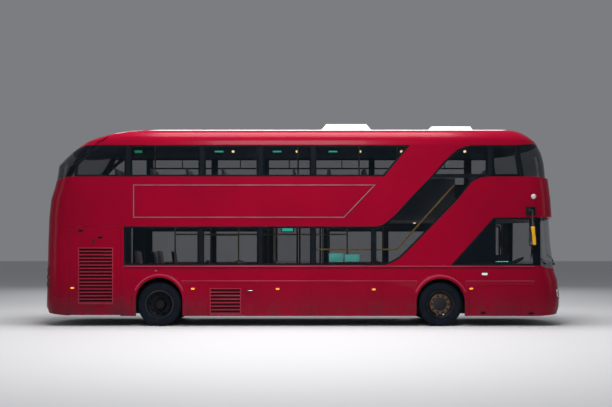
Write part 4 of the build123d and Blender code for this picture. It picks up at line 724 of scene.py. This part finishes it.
make_camera()
make_floor()
make_world()
make_lamp("overhead", (0, -1.5, 11.5), (0, 0, 0), (9, 6), 1800)
make_lamp("front_fill", (-0.5, -10.0, 7.6), (-0.3, 0, 2.9), (5, 3), 560)
make_lamp("back_fill", (0, 18, 10), (0, 0, 2), (18, 5), 1100)
make_lamp("nose_fill", (16, -4, 4), (4, 0, 2), (3, 6), 60)
make_lamp("tail_fill", (-16, -4, 4), (-4, 0, 2), (3, 6), 60)

# Panels and panes keep their CAD shape; a merged copy of each is shaded smooth
SKINS = [
    "roof_shell",
    "rear_dome",
    "roof_centre",
    "roof_pods",
    "offside_wall",
    "nearside_wall",
    "offside_skirt",
    "nearside_skirt",
    "engine_door",
    "rear_lower_panel",
    "rear_upper_panel",
    "front_lower_panel",
    "front_upper_panel",
    "window_pillars",
    "side_glass_upper",
    "side_glass_lower",
    "windscreen",
    "front_upper_glass",
    "rear_glass",
]
SLOT_OF = {part["node"]: part["material_slot"] for part in frame["record"]["subparts"]}
CORNER_PANES = ("rear_glass", "front_upper_glass")
CORNER_GLASS = window_glass("corner_glass", (0.0030, 0.0070, 0.0095), 0.46)


def loose_copy(node):
    """A free, merged copy of a CAD node."""
    cad = frame["nodes"][node]
    twin = cad.copy()
    twin.data = cad.data.copy()
    twin.parent = None
    twin.matrix_world = Matrix.Identity(4)
    for key in [key for key in twin.keys() if key.startswith("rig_")]:
        del twin[key]
    twin.hide_viewport = twin.hide_render = False
    bpy.context.scene.collection.objects.link(twin)
    choose(twin)
    bpy.ops.object.mode_set(mode="EDIT")
    bpy.ops.mesh.select_all(action="SELECT")
    bpy.ops.mesh.remove_doubles(threshold=0.00002)
    bpy.ops.object.mode_set(mode="OBJECT")
    return twin


def smooth_skin(node):
    skin = smooth(loose_copy(node), 24.0)
    modify(skin, "WEIGHTED_NORMAL", keep_sharp=True)
    slot = SLOT_OF[node]
    finish = CORNER_GLASS if node in CORNER_PANES else FINISHES[slot]
    settle(skin, node + "_skin", finish, frame["nodes"][node]["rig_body"])
    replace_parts(skin, node)


for node in SKINS:
    smooth_skin(node)
for node, cad in frame["nodes"].items():
    if node not in SKINS:
        finish = FINISHES[SLOT_OF[node]]
        if node.endswith("_leaf"):
            finish = door_finish(node + "_finish", *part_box(node))
        cad.data.materials.clear()
        cad.data.materials.append(finish)

# The black band printed round the inside of each flat side pane
FRIT_BAND = 0.040
FRIT_THICK = 0.00012
PANE_INNER = HALF - 0.008


def frit(node):
    border = loose_copy(node)
    bpy.ops.object.mode_set(mode="EDIT")
    bpy.ops.mesh.select_mode(type="FACE")
    bpy.ops.mesh.select_all(action="DESELECT")
    bpy.ops.object.mode_set(mode="OBJECT")
    for face in border.data.polygons:
        level = abs(abs(face.center.y) - PANE_INNER) < 0.0005
        inward = face.normal.y * face.center.y < 0
        face.select = not (abs(face.normal.y) > 0.999 and inward and level)
    bpy.ops.object.mode_set(mode="EDIT")
    bpy.ops.mesh.delete(type="FACE")
    bpy.ops.mesh.select_all(action="SELECT")
    bpy.ops.mesh.dissolve_limited(angle_limit=math.radians(1))
    bpy.ops.mesh.select_all(action="SELECT")
    bpy.ops.mesh.inset(thickness=FRIT_BAND, use_individual=True, use_even_offset=True)
    bpy.ops.mesh.delete(type="FACE")
    bpy.ops.object.mode_set(mode="OBJECT")
    for vertex in border.data.vertices:
        vertex.co.y -= math.copysign(FRIT_THICK / 2, vertex.co.y)
    modify(border, "SOLIDIFY", thickness=FRIT_THICK, offset=1)
    settle(border, node + "_frit", SEAL, "body")


frit("side_glass_upper")
frit("side_glass_lower")

# Vent rails on the inside of the nearside upper panes: a transom, and a divider in each bay
PANE_BACK = HALF - 0.0082
VENT_RAIL_Z = (3.546, 3.580)
VENT_DIVIDER_TOP = 3.79
VENT_DIVIDER_HALF = 0.012
VENT_POSTS = (-3.658, -2.110, -0.883, 0.220, 1.636, 2.820, 3.930)


def vent_rails():
    made = []
    low, high = VENT_RAIL_Z
    for rear, front in zip(VENT_POSTS, VENT_POSTS[1:]):
        made.append(slab((rear, PANE_BACK - 0.014, low), (front, PANE_BACK, high), 0.002))
        middle = (rear + front) / 2
        foot = (middle - VENT_DIVIDER_HALF, PANE_BACK - 0.010, high)
        head = (middle + VENT_DIVIDER_HALF, PANE_BACK, VENT_DIVIDER_TOP)
        made.append(slab(foot, head, 0.002))
    return join(made)


settle(vent_rails(), "nearside_vent_rails", SEAL, "body")

# Painted shade: dark strips at the bottom of the grooves and seams of the offside
SUNK = HALF - 0.0048
SKIRT_SEAMS = [
    # x, low, high
    (-3.768, 0.240, 1.178),
    (-2.163, 0.553, 0.933),
    (-0.922, 0.302, 0.933),
    (-0.861, 0.302, 0.933),
    (0.185, 0.302, 0.933),
    (1.652, 0.302, 0.933),
]
GROOVE_SHADE_LINES = [
    # rear, front, low, high
    (-3.731, 4.858, 1.2135, 1.2315),
    (3.722, 4.858, 0.8553, 0.8597),
]


def sunk_shade_strips():
    made = []
    for rear, front, low, high in GROOVE_SHADE_LINES:
        made.append(slab((rear, -SUNK, low), (front, -SUNK + 0.002, high), 0.0006, 1))
    for x, low, high in SKIRT_SEAMS:
        made.append(slab((x - 0.0018, -SUNK, low), (x + 0.0018, -SUNK + 0.002, high), 0.0005, 1))
    return join(made)


settle(sunk_shade_strips(), "offside_seam_shade_strips", SEAM_SHADE_DARK, "body")

# Painted highlights: pale strips along the raised rails where their bevels catch the light, and the
# metal faces of the poster frames
RAIL_FACE = HALF + 0.008
RAIL_HIGHLIGHTS = [
    # rear, front, low, high
    (-3.731, 4.858, 1.250, 1.268),
    (-2.548, 2.394, 0.946, 0.958),
    (3.425, 4.858, 0.946, 0.958),
]


def rail_highlights():
    made = []
    for rear, front, low, high in RAIL_HIGHLIGHTS:
        inner = (front, -RAIL_FACE + 0.002, high)
        made.append(slab((rear, -RAIL_FACE - 0.0012, low), inner, 0.0008))
    return join(made)


settle(rail_highlights(), "offside_rail_highlights", PALE_RED_HIGHLIGHT, "body")

# Painted highlight: the pale band round the top of each raised arch lip where it catches the light,
# cut off ARCH_CUT over its centre
ARCH_FACE = HALF + 0.014
ARCH_CUT = 0.22
ARCH_HIGHLIGHTS = [
    # x, z, inner radius, outer radius
    (FRONT_X, 0.495, 0.552, 0.580),
    (REAR_X, 0.533, 0.534, 0.562),
]


def arch_highlights():
    made = []
    for x, z, inner, outer in ARCH_HIGHLIGHTS:
        profile = [
            (-0.002, inner),
            (0.0012, inner + 0.002),
            (0.0012, outer - 0.002),
            (-0.002, outer),
        ]
        band = spun(profile, (x, -ARCH_FACE, z), (0, -1, 0), 96)
        choose(band)
        bpy.ops.object.mode_set(mode="EDIT")
        bpy.ops.mesh.select_all(action="SELECT")
        bpy.ops.mesh.bisect(
            plane_co=(x, 0, z + ARCH_CUT), plane_no=(0, 0, 1), clear_inner=True, use_fill=True
        )
        bpy.ops.object.mode_set(mode="OBJECT")
        made.append(band)
    return join(made)


settle(both_sides(arch_highlights()), "arch_lip_highlights", PALE_RED_HIGHLIGHT, "body")

POSTER_FACE = HALF + 0.005
OFFSIDE_POSTER = [(-3.552, 2.278), (0.866, 2.278), (1.530, 2.970), (-3.552, 2.970)]
NEARSIDE_POSTER = [(-3.552, 2.370), (2.400, 2.370), (2.400, 2.970), (-3.552, 2.970)]
for name, points, y in (
    ("offside_poster_frame", OFFSIDE_POSTER, -POSTER_FACE - 0.0012),
    ("nearside_poster_frame", NEARSIDE_POSTER, POSTER_FACE - 0.0008),
):
    settle(outlined(points, y, 0.002, 0.0165), name, FRAME_GREY, "body")


# Side markers, repeaters and small plates
def marker(x, z):
    """A side marker lamp on the offside: dark base and rounded lens."""
    base = oval(x, z, 0.100, 0.052, -HALF, 0.005)
    lens = oval(x, z, 0.078, 0.034, -HALF - 0.004, 0.013)
    return base, lens


def marker_rows(name, spots, side, body="body"):
    """Markers of one side and body, as one piece of bases and one of lenses."""
    made = [marker(x, z) for x, z in spots]
    for part, pieces, finish, slot in (
        ("bases", [pair[0] for pair in made], SEAL, "black_trim"),
        ("lenses", [pair[1] for pair in made], AMBER, "lamp_clear"),
    ):
        row = join(pieces)
        if side > 0:
            place(row, mirrored(1)).data.flip_normals()
        settle(row, f"{name}_{part}", finish, body)


marker_rows(
    "offside_marker",
    [(-2.301, 0.788), (-0.526, 0.784), (1.491, 0.773), (3.534, 0.790)],
    -1,
)
marker_rows("engine_door_marker", [(-4.829, 0.805)], -1, "engine_door")
marker_rows("nearside_marker", [(-2.301, 0.788), (-1.100, 0.784), (1.491, 0.773)], 1)

settle(
    both_sides(oval(3.813, 1.092, 0.150, 0.076, -HALF, 0.008)),
    "repeater_bases",
    SEAL,
    "body",
)
settle(
    both_sides(oval(3.813, 1.096, 0.124, 0.050, -HALF - 0.007, 0.018, 0.003)),
    "repeater_lenses",
    lamp_glass("repeater_clear", (0.72, 0.80, 0.78), 0.95, 0.25),
    "body",
)
door_plates = join(
    [
        oval(-4.655, 2.004, 0.105, 0.042, -HALF, 0.004, 0.006),
        oval(-4.246, 1.865, 0.105, 0.042, -HALF, 0.004, 0.006),
        oval(-4.380, 1.777, 0.042, 0.105, -HALF, 0.004, 0.003),
    ]
)
settle(door_plates, "engine_door_catches", SEAL, "engine_door")
skirt_slots = join(
    [
        oval(3.786, 0.281, 0.115, 0.042, -HALF, 0.003, 0.008),
        oval(4.794, 0.270, 0.115, 0.042, -HALF, 0.003, 0.008),
    ]
)
settle(skirt_slots, "skirt_jacking_slots", SEAL, "body")
catch = join(
    [
        slab((-1.180, -HALF - 0.020, 0.641), (-1.158, -HALF + 0.002, 0.752), 0.006, 3),
        slab((-1.180, -HALF - 0.026, 0.735), (-1.150, -HALF - 0.008, 0.756), 0.005, 3),
    ]
)
settle(catch, "skirt_catch", SEAL, "body")
settle(
    slab((-1.152, -HALF - 0.022, 0.742), (-1.045, -HALF - 0.006, 0.757), 0.005, 3),
    "skirt_catch_lever",
    CHROME,
    "body",
)
rivet_plate = oval(-3.077, 1.165, 0.046, 0.020, -HALF, 0.004)
settle(rivet_plate, "arch_rivet_plate", FRAME_GREY, "body")

# Camera dome and mirror bracket on the offside, and the yellow mirror covers
DOME_PLACE = (4.842, -HALF + 0.002, 2.722)
DOME_PROFILE = [
    (0, 0),
    (0, 0.052),
    (0.012, 0.052),
    (0.016, 0.047),
    (0.030, 0.043),
    (0.042, 0.032),
    (0.050, 0.018),
    (0.052, 0),
]
dome = spun(DOME_PROFILE, DOME_PLACE, (0, -1, 0), 28)
settle(dome, "camera_dome", CAMERA_WHITE, "body")

bracket_bars = []
for low, high in (
    ((4.668, 2.325), (4.692, 2.509)),
    ((4.862, 2.340), (4.886, 2.509)),
    ((4.668, 2.488), (4.886, 2.509)),
    ((4.668, 2.402), (4.886, 2.424)),
    ((4.668, 2.325), (4.850, 2.345)),
):
    bracket_bars.append(
        slab((low[0], -HALF - 0.030, low[1]), (high[0], -HALF + 0.001, high[1]), 0.006, 2)
    )
settle(join(bracket_bars), "mirror_bracket", SEAL, "body")

MIRROR_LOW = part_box("mirrors")[0]
MIRROR_X = (4.735, 4.835)
MIRROR_Z = (1.690, 2.092)
mirror_face = slab(
    (MIRROR_X[0] - 0.002, -1.482, 1.712), (MIRROR_X[0] + 0.004, -1.318, 2.070), 0.0025
)
settle(both_sides(mirror_face), "mirror_glass", MIRROR, "body")
COVER_STEP = 0.004
heads = smooth(loose_copy("mirrors"), 40)
for vertex in heads.data.vertices:
    if abs(vertex.co.y) > -MIRROR_LOW.y - 0.002:
        vertex.co.y -= math.copysign(COVER_STEP, vertex.co.y)
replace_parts(settle(heads, "mirror_heads", FINISHES["black_trim"], "body"), "mirrors")
cover = slab(
    (MIRROR_X[0] + 0.004, MIRROR_LOW.y + 0.0005, MIRROR_Z[0] + 0.012),
    (MIRROR_X[1] - 0.012, MIRROR_LOW.y + 0.045, MIRROR_Z[1] - 0.006),
    0.020,
    4,
)
for vertex in cover.data.vertices:
    rise = (vertex.co.z - MIRROR_Z[0]) / (MIRROR_Z[1] - MIRROR_Z[0])
    vertex.co.x += 0.016 - 0.030 * rise
settle(both_sides(cover), "mirror_covers", MIRROR_YELLOW, "body")

# Blank stickers inside the stair window
stickers = [
    slab((0.552, -1.2519, 1.348), (0.849, -1.2505, 1.530), 0.0005),
    slab((0.889, -1.2519, 1.354), (1.187, -1.2505, 1.507), 0.0005),
]
settle(join(stickers), "window_stickers", STICKER, "body")

# Wipers, laid on the windscreen, found from RAY_START metres out
RAY_START = 8
screen = skin_probe("windscreen")


def on_screen(y, z, clear):
    """The point clear metres in front of the windscreen at one width and height."""
    hit, normal = screen.ray_cast(Vector((RAY_START, y, z)), Vector((-1, 0, 0)))[:2]
    return hit + normal * clear if normal.x > 0 else hit - normal * clear


def wiper(spindle, elbow, blade_low, blade_high):
    foot = on_screen(*spindle, 0.010)
    bend = on_screen(*elbow, 0.028)
    made = [bar(foot, bend, 0.009)]
    made.append(bar(foot - Vector((0.02, 0, 0)), foot + Vector((0.03, 0, 0)), 0.020))
    stops = 6
    points = []
    for k in range(stops + 1):
        share = k / stops
        y = blade_low[0] + (blade_high[0] - blade_low[0]) * share
        z = blade_low[1] + (blade_high[1] - blade_low[1]) * share
        points.append(on_screen(y, z, 0.012))
    made += [bar(start, end, 0.008, 10) for start, end in zip(points, points[1:])]
    made.append(bar(bend, points[stops // 2] + Vector((0.012, 0, 0)), 0.007))
    return join(made)


wipers = join(
    [
        wiper((-0.62, 1.30), (-0.35, 1.42), (-0.78, 1.36), (0.02, 1.50)),
        wiper((0.26, 1.30), (0.52, 1.42), (0.10, 1.36), (0.90, 1.50)),
    ]
)
settle(wipers, "wipers", SEAL, "body")


# Lamps: chrome bowls behind the headlamps' lenses, bezels round all lenses
BOWL_SUNK = 0.056


def lamp_bowls(name, node, facing, spots, radius, finish, bowl=True):
    """Bezels, and bowls if wanted, at each (y, z) on the node's outer face, for both sides."""
    probe = skin_probe(node)
    ring = [
        (-0.006, radius + 0.002),
        (0.004, radius + 0.001),
        (0.007, radius + 0.006),
        (0.004, radius + 0.014),
        (-0.006, radius + 0.016),
    ]
    deep = [
        (0.0, radius - 0.004),
        (-0.030, radius * 0.80),
        (-0.052, radius * 0.45),
        (-0.058, 0.0),
        (-0.062, 0.0),
        (-0.056, radius * 0.47),
        (-0.033, radius * 0.84),
        (0.0, radius - 0.001),
    ]
    rings, bowls = [], []
    for y, z in spots:
        for side in (-1, 1):
            start = Vector((facing * RAY_START, side * y, z))
            hit, normal = probe.ray_cast(start, Vector((-facing, 0, 0)))[:2]
            if normal.x * facing < 0:
                normal = -normal
            rings.append(spun(ring, hit, normal, 32))
            if bowl:
                sunk = hit - Vector((facing * BOWL_SUNK, 0, 0))
                bowls.append(spun(deep, sunk, (facing, 0, 0), 24))
    settle(join(rings), name + "_bezels", finish, "body")
    if bowl:
        settle(join(bowls), name + "_bowls", CHROME, "body")


HEADLAMP_SPOTS = [(HALF - 0.275, 0.690), (HALF - 0.440, 0.545)]
TAIL_SPOTS = [(HALF - 0.250, 1.180), (HALF - 0.250, 1.030), (HALF - 0.250, 0.880)]
lamp_bowls("headlamp", "headlamps", 1, HEADLAMP_SPOTS, 0.078, CHROME)
lamp_bowls("tail_lamp", "tail_lamps", -1, TAIL_SPOTS, 0.060, SEAL, False)

# Tyres: bulged walls with fine rings, and blocks cut in the tread
TREAD_STEPS = 96
TREAD_ANGLE = 360 / TREAD_STEPS
LIP_R = 0.302


def tyre_profile():
    """One tyre's section: (depth from its outer face, radius) points."""
    wide = TYRE_WIDTH
    wall = [
        (0.024, 0.2875),
        (0.024, LIP_R),
        (0.016, LIP_R + 0.010),
        (0.007, LIP_R + 0.026),
        (0.0045, LIP_R + 0.036),
        (0.0060, LIP_R + 0.040),
        (0.0025, LIP_R + 0.056),
        (0.0010, LIP_R + 0.076),
        (0.0000, LIP_R + 0.092),
        (0.0022, LIP_R + 0.095),
        (0.0030, LIP_R + 0.108),
        (0.0060, LIP_R + 0.124),
        (0.0120, WHEEL_R - 0.024),
        (0.0200, WHEEL_R - 0.012),
        (0.0330, WHEEL_R - 0.002),
        (0.0400, WHEEL_R),
    ]
    tread = []
    for middle in (0.085, 0.1375, 0.190):
        tread += [
            (middle - 0.006, WHEEL_R),
            (middle - 0.004, WHEEL_R - 0.011),
            (middle + 0.004, WHEEL_R - 0.011),
            (middle + 0.006, WHEEL_R),
        ]
    far = [(wide - depth, radius) for depth, radius in reversed(wall)]
    return wall + tread + far


def make_tyre():
    """A tyre about the Z axis, its outer face up at 0 and its body below."""
    tyre = turned([(-depth, radius) for depth, radius in tyre_profile()], TREAD_STEPS)
    choose(tyre)
    bpy.ops.object.mode_set(mode="EDIT")
    bpy.ops.mesh.select_mode(type="FACE")
    bpy.ops.mesh.select_all(action="DESELECT")
    bpy.ops.object.mode_set(mode="OBJECT")
    for face in tyre.data.polygons:
        middle = face.center
        radius = math.hypot(middle.x, middle.y)
        angle = math.degrees(math.atan2(middle.y, middle.x)) % 360
        step = int(round(angle / TREAD_ANGLE - 0.5))
        if radius > WHEEL_R - 0.0015 and 0.030 < -middle.z < TYRE_WIDTH - 0.030:
            face.select = (step + int(-middle.z > TYRE_WIDTH / 2)) % 2 == 0
    bpy.ops.object.mode_set(mode="EDIT")
    bpy.ops.mesh.inset(thickness=0.006, depth=-0.007, use_individual=True)
    bpy.ops.object.mode_set(mode="OBJECT")
    return smooth(tyre, 32)


def axle_matrix(x, side, face):
    """Puts a wheel piece made about Z, outer face up, at an axle's end."""
    turn = Matrix.Rotation(math.radians(90), 4, "X")
    if side > 0:
        turn = Matrix.Rotation(math.radians(-90), 4, "X")
    return Matrix.Translation((x, side * face, WHEEL_R)) @ turn


tyre_pattern = make_tyre()
rubber = FINISHES["tyre_rubber"]
for side_name, side in SIDES.items():
    front = copy_of(tyre_pattern, axle_matrix(FRONT_X, side, TYRE_FACE))
    node = f"front_tyre_{side_name}"
    settle(front, node + "_treaded", rubber, f"front_wheel_{side_name}")
    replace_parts(front, node)
    twins = [
        copy_of(tyre_pattern, axle_matrix(REAR_X, side, face)) for face in (TYRE_FACE, TWIN_FACE)
    ]
    rear = join(twins)
    node = f"rear_tyres_{side_name}"
    settle(rear, node + "_treaded", rubber, f"rear_wheels_{side_name}")
    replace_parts(rear, node)
bpy.data.objects.remove(tyre_pattern)

# Wheel fittings, made about Z with the disc's face at 0
NUTS = 10
NUT_CIRCLE = 0.172
FRONT_DISC = 0.070
TWIN_DISC = 0.175


def nut_set(radius, height, circle, lift):
    """Hexagon nuts on their washers, with the studs' ends."""
    nut = turned(
        [(0, 0), (0, radius), (height * 0.85, radius), (height, radius * 0.86), (height, 0)], 6
    )
    washer = turned([(0, 0), (0, radius * 1.35), (0.004, radius * 1.35), (0.005, 0)], 16)
    stud = turned(
        [(0, 0), (0, radius * 0.5), (height + 0.009, radius * 0.5), (height + 0.011, 0)], 10
    )
    one = join([nut, washer, stud])
    turns = [
        Matrix.Rotation(2 * math.pi * k / NUTS, 4, "Z") @ moved(circle, 0, lift)
        for k in range(NUTS)
    ]
    return smooth(copies(one, turns), 30)


FRONT_GUARD = [
    (0, 0.139),
    (0.016, 0.138),
    (0.022, 0.144),
    (0.024, 0.156),
    (0.024, 0.196),
    (0.021, 0.208),
    (0.014, 0.216),
    (0, 0.216),
]
FRONT_CAP = [
    (0, 0),
    (0, 0.128),
    (0.010, 0.128),
    (0.016, 0.120),
    (0.018, 0.082),
    (0.036, 0.078),
    (0.044, 0.070),
    (0.046, 0.050),
    (0.040, 0.046),
    (0.040, 0),
]
REAR_HUB = [
    (-0.003, 0),
    (-0.003, 0.128),
    (0.030, 0.126),
    (0.040, 0.118),
    (0.090, 0.108),
    (0.104, 0.096),
    (0.110, 0.060),
    (0.104, 0.054),
    (0.104, 0),
]
REAR_BAND = [(0.0, 0.2735), (0.0, 0.300), (-0.0015, 0.302), (-0.006, 0.2735)]
BAND_DEPTH = 0.0095


def wheel_pieces(x, side, body, rows):
    """Settles the pieces of one wheel, each from its name, mesh, face and finish."""
    for name, piece, face, finish in rows:
        place(piece, axle_matrix(x, side, face))
        settle(piece, name, finish, body)


for side_name, side in SIDES.items():
    face = TYRE_FACE - FRONT_DISC
    nuts = nut_set(0.0185, 0.014, NUT_CIRCLE + 0.004, 0.0235)
    rows = [
        (f"nut_guard_{side_name}", turned(FRONT_GUARD, 64), face, NUT_RING),
        (f"front_nuts_{side_name}", nuts, face, SEAL),
        (f"front_hub_cap_{side_name}", turned(FRONT_CAP, 48), face, RIM_BAND),
    ]
    wheel_pieces(FRONT_X, side, f"front_wheel_{side_name}", rows)
    face = TYRE_FACE - TWIN_DISC
    nuts = nut_set(0.017, 0.026, NUT_CIRCLE, 0.0)
    rows = [
        (f"rear_hub_{side_name}", turned(REAR_HUB, 48), face, FINISHES["wheel_paint"]),
        (f"rear_nuts_{side_name}", nuts, face, SEAL),
        (f"rear_rim_band_{side_name}", turned(REAR_BAND, 64), TYRE_FACE - BAND_DEPTH, RIM_BAND),
    ]
    wheel_pieces(REAR_X, side, f"rear_wheels_{side_name}", rows)

# Ceiling: a slanted panel along each cove, which carries the lamps and the lit signs
COVE_FOOT = Vector((0, 1.203, 3.812))
COVE_RUN = Vector((0, -0.318, 0.288))
COVE_TURN = Matrix.Rotation(math.atan2(COVE_RUN.z, COVE_RUN.y), 4, "X")
COVE_PLACE = Matrix.Translation(COVE_FOOT) @ COVE_TURN
COVE_INWARD = COVE_TURN @ Vector((0, 0, 1))
COVE_SIGNS = [-1.988, -0.616, 0.708]
COVE_LAMPS = [-1.657, -0.143, 1.347, 2.328, 3.830]
COVE_MIDDLE = 0.205
PANEL_THICK = 0.010


def on_cove(x, low, high, thick):
    """A plate on the nearside cove panel: x range, and its range up the slope from the foot."""
    return place(slab((x[0], low, 0.0), (x[1], high, thick), abs(thick) * 0.3), COVE_PLACE)


cove_panels = [
    on_cove((-3.50, 4.30), 0.0, COVE_RUN.length, -PANEL_THICK),
    on_cove((-4.02, -3.49), 0.0, 0.280, -PANEL_THICK),
]
settle(both_sides(join(cove_panels)), "cove_panels", FINISHES["grey_trim"], "body")
signs = [
    on_cove((x - 0.10, x + 0.10), COVE_MIDDLE - 0.021, COVE_MIDDLE + 0.021, 0.010)
    for x in COVE_SIGNS
]
settle(both_sides(join(signs)), "ceiling_signs", LIT_TEAL, "body")
LAMP_PROFILE = [(0, 0), (0, 0.034), (0.012, 0.032), (0.020, 0.022), (0.022, 0)]
lamps = [
    spun(LAMP_PROFILE, COVE_PLACE @ Vector((x, COVE_MIDDLE, 0)), COVE_INWARD, 18)
    for x in COVE_LAMPS
]
settle(both_sides(join(lamps)), "ceiling_lamps", LIT_WARM, "body")
exit_sign = on_cove((-3.99, -3.81), COVE_MIDDLE - 0.035, COVE_MIDDLE + 0.035, 0.014)
settle(exit_sign, "upper_exit_sign", EXIT_GREEN, "body")
DECK_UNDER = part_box("upper_floor")[0].z
lower_sign = slab((-0.46, -0.31, 2.02), (-0.22, -0.29, 2.10), 0.004)
settle(lower_sign, "lower_exit_sign", LIT_TEAL, "body")
sign_arm = slab((-0.48, -0.30, 2.00), (-0.20, -0.26, DECK_UNDER + 0.001), 0.006)
settle(sign_arm, "lower_exit_sign_box", FINISHES["black_trim"], "body")
LOWER_LAMPS = {-0.75: (-2.6, -1.0, 0.6), 0.75: (-2.6, -1.0, 1.2, 2.6)}
lower_lamps = [
    spun(LAMP_PROFILE, (x, y, DECK_UNDER + 0.001), (0, 0, -1), 18)
    for y, row in LOWER_LAMPS.items()
    for x in row
]
settle(join(lower_lamps), "lower_ceiling_lamps", LIT_WARM, "body")


# Seats: shells on pedestals, with crowned pads
def seat_spots(node):
    """Low and high corner of every solid of a node."""
    loose_copy(node)
    bpy.ops.object.mode_set(mode="EDIT")
    bpy.ops.mesh.select_all(action="SELECT")
    bpy.ops.mesh.separate(type="LOOSE")
    bpy.ops.object.mode_set(mode="OBJECT")
    found = []
    for piece in list(bpy.context.selected_objects):
        corners = [vertex.co for vertex in piece.data.vertices]
        low = Vector([min(corner[k] for corner in corners) for k in range(3)])
        high = Vector([max(corner[k] for corner in corners) for k in range(3)])
        found.append((low, high))
        bpy.data.objects.remove(piece)
    return sorted(found, key=lambda pair: tuple(pair[0]))


def pad(wide, long, thick, channels=2):
    """A crowned pad lying flat: X along it, Y across, its flat underside at Z 0."""
    clear_selection()
    bpy.ops.mesh.primitive_cube_add(size=2)
    piece = bpy.context.object
    bpy.ops.object.mode_set(mode="EDIT")
    bpy.ops.mesh.select_all(action="SELECT")
    bpy.ops.mesh.subdivide(number_cuts=6)
    bpy.ops.object.mode_set(mode="OBJECT")
    for vertex in piece.data.vertices:
        along, across, up = vertex.co
        crown = (1 - along**4) * (1 - across**4)
        groove = math.cos(math.pi * channels * along) ** 8 if abs(along) < 0.9 else 0
        rise = 0.62 + 0.38 * crown - 0.07 * groove * crown
        draw = 0.035 * (1 - along**2) * abs(across) ** 3
        pull = 0.030 * (1 - across**2) * abs(along) ** 3
        height = rise * (up + 1) / 2
        vertex.co = (
            along * long / 2 * (1 - pull),
            across * wide / 2 * (1 - draw),
            max(0, height) * thick,
        )
    modify(piece, "SUBSURF", levels=1, render_levels=1)
    return smooth(piece, 60)


SEAT_TILT = math.radians(4.6)
BACK_LEAN = math.radians(6.8)
PAIR_WIDE = 0.7  # a solid wider than this holds two places
BOXED_HIGH = 0.7  # one lower than this stands on a wheel box, without its pedestal
PEDESTAL_HIGH = 0.40
UPPER_DECK_Z = 2.0


def cushion(wide):
    """A seat cushion in seat coordinates: X forward from its front edge, Z up from the floor."""
    piece = pad(wide, 0.395, 0.066)
    return place(piece, moved(-0.205, 0, 0.411) @ Matrix.Rotation(-SEAT_TILT * 0.9, 4, "Y"))


def back_pad(wide, high):
    """A back cushion, leaned on its shell."""
    piece = pad(wide, high, 0.060)
    stand = Matrix.Rotation(math.radians(90) - BACK_LEAN, 4, "Y")
    return place(piece, moved(-0.467, 0, 0.465 + high / 2) @ stand)


def shell(wide, high, leg):
    """Tray, back board and pedestal of one place."""
    made = [slab((-0.445, -wide / 2, 0.400), (-0.004, wide / 2, 0.414), 0.006)]
    board = slab((-0.008, -wide / 2, 0), (0.008, wide / 2, high + 0.04), 0.007, 3)
    place(board, moved(-0.438, 0, 0.405) @ Matrix.Rotation(-BACK_LEAN, 4, "Y"))
    made.append(board)
    if leg:
        made.append(slab((-0.290, -0.07, 0.0), (-0.130, 0.07, 0.402), 0.012))
        made.append(slab((-0.300, -0.10, 0.0), (-0.120, 0.10, 0.012), 0.004))
    return join(made)


def seat_set(name, spots, cloth, frame_finish):
    """Frames, cushions and back pads for a list of seat solids, as three pieces."""
    frames, cushions, backs = [], [], []
    for low, high in spots:
        width = high.y - low.y
        count = 2 if width > PAIR_WIDE else 1
        boxed = high.z - low.z < BOXED_HIGH
        tall = 0.50 if boxed else 0.575
        floor = low.z - (PEDESTAL_HIGH if boxed else 0)
        span = width / count
        for k in range(count):
            spot = moved(high.x, low.y + span * (k + 0.5), floor)
            frames.append(place(shell(span - 0.004, tall, not boxed), spot))
            cushions.append(place(cushion(span - 0.026), spot))
            backs.append(place(back_pad(span - 0.030, tall - 0.04), spot))
    settle(join(frames), name + "_frames", frame_finish, "body")
    for part, pieces in (("cushions", cushions), ("backs", backs)):
        piece = settle(join(pieces), f"{name}_{part}", cloth, "body")
        if part == "cushions":
            kept = piece
    return kept


spots = seat_spots("passenger_seats")
lower_spots = [pair for pair in spots if pair[0].z < UPPER_DECK_Z]
upper_spots = [pair for pair in spots if pair[0].z >= UPPER_DECK_Z]
SEAT_FRAME = moulded("seat_shell", (0.030, 0.032, 0.038), 0.40)
lower_kept = seat_set("lower_seat", lower_spots, FINISHES["seat_fabric"], SEAT_FRAME)
upper_kept = seat_set("upper_seat", upper_spots, FINISHES["seat_fabric"], SEAT_FRAME)
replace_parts(lower_kept, "passenger_seats")
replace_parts(upper_kept, "passenger_seats")
driver_kept = seat_set(
    "driver_seat", [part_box("driver_seat")], FINISHES["black_fabric"], SEAT_FRAME
)
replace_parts(driver_kept, "driver_seat")

# Cab: side console with lit keys
KEYS_X = (4.05, 4.11, 4.17, 4.23, 4.29)
console = slab((4.00, -1.2095, 1.240), (4.46, -1.110, 1.352), 0.014, 3)
settle(console, "cab_side_console", FINISHES["black_trim"], "body")
keys = [slab((x, -1.190, 1.350), (x + 0.030, -1.160, 1.362), 0.004) for x in KEYS_X]
settle(join(keys), "cab_lit_keys", LIT_GREEN, "body")

# Rubber edges of the door leaves
RUBBER_WIDE = 0.014
RUBBER_PROUD = 0.0005
for node in [name for name in frame["nodes"] if name.endswith("_leaf")]:
    low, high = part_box(node)
    edges = [
        slab((rear, low.y - 0.001, low.z), (front, high.y + 0.001, high.z), 0.004)
        for rear, front in (
            (low.x - RUBBER_PROUD, low.x + RUBBER_WIDE),
            (high.x - RUBBER_WIDE, high.x + RUBBER_PROUD),
        )
    ]
    settle(join(edges), node + "_edges", SEAL, frame["nodes"][node]["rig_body"])

scene = bpy.context.scene
scene.view_settings.view_transform = "Standard"
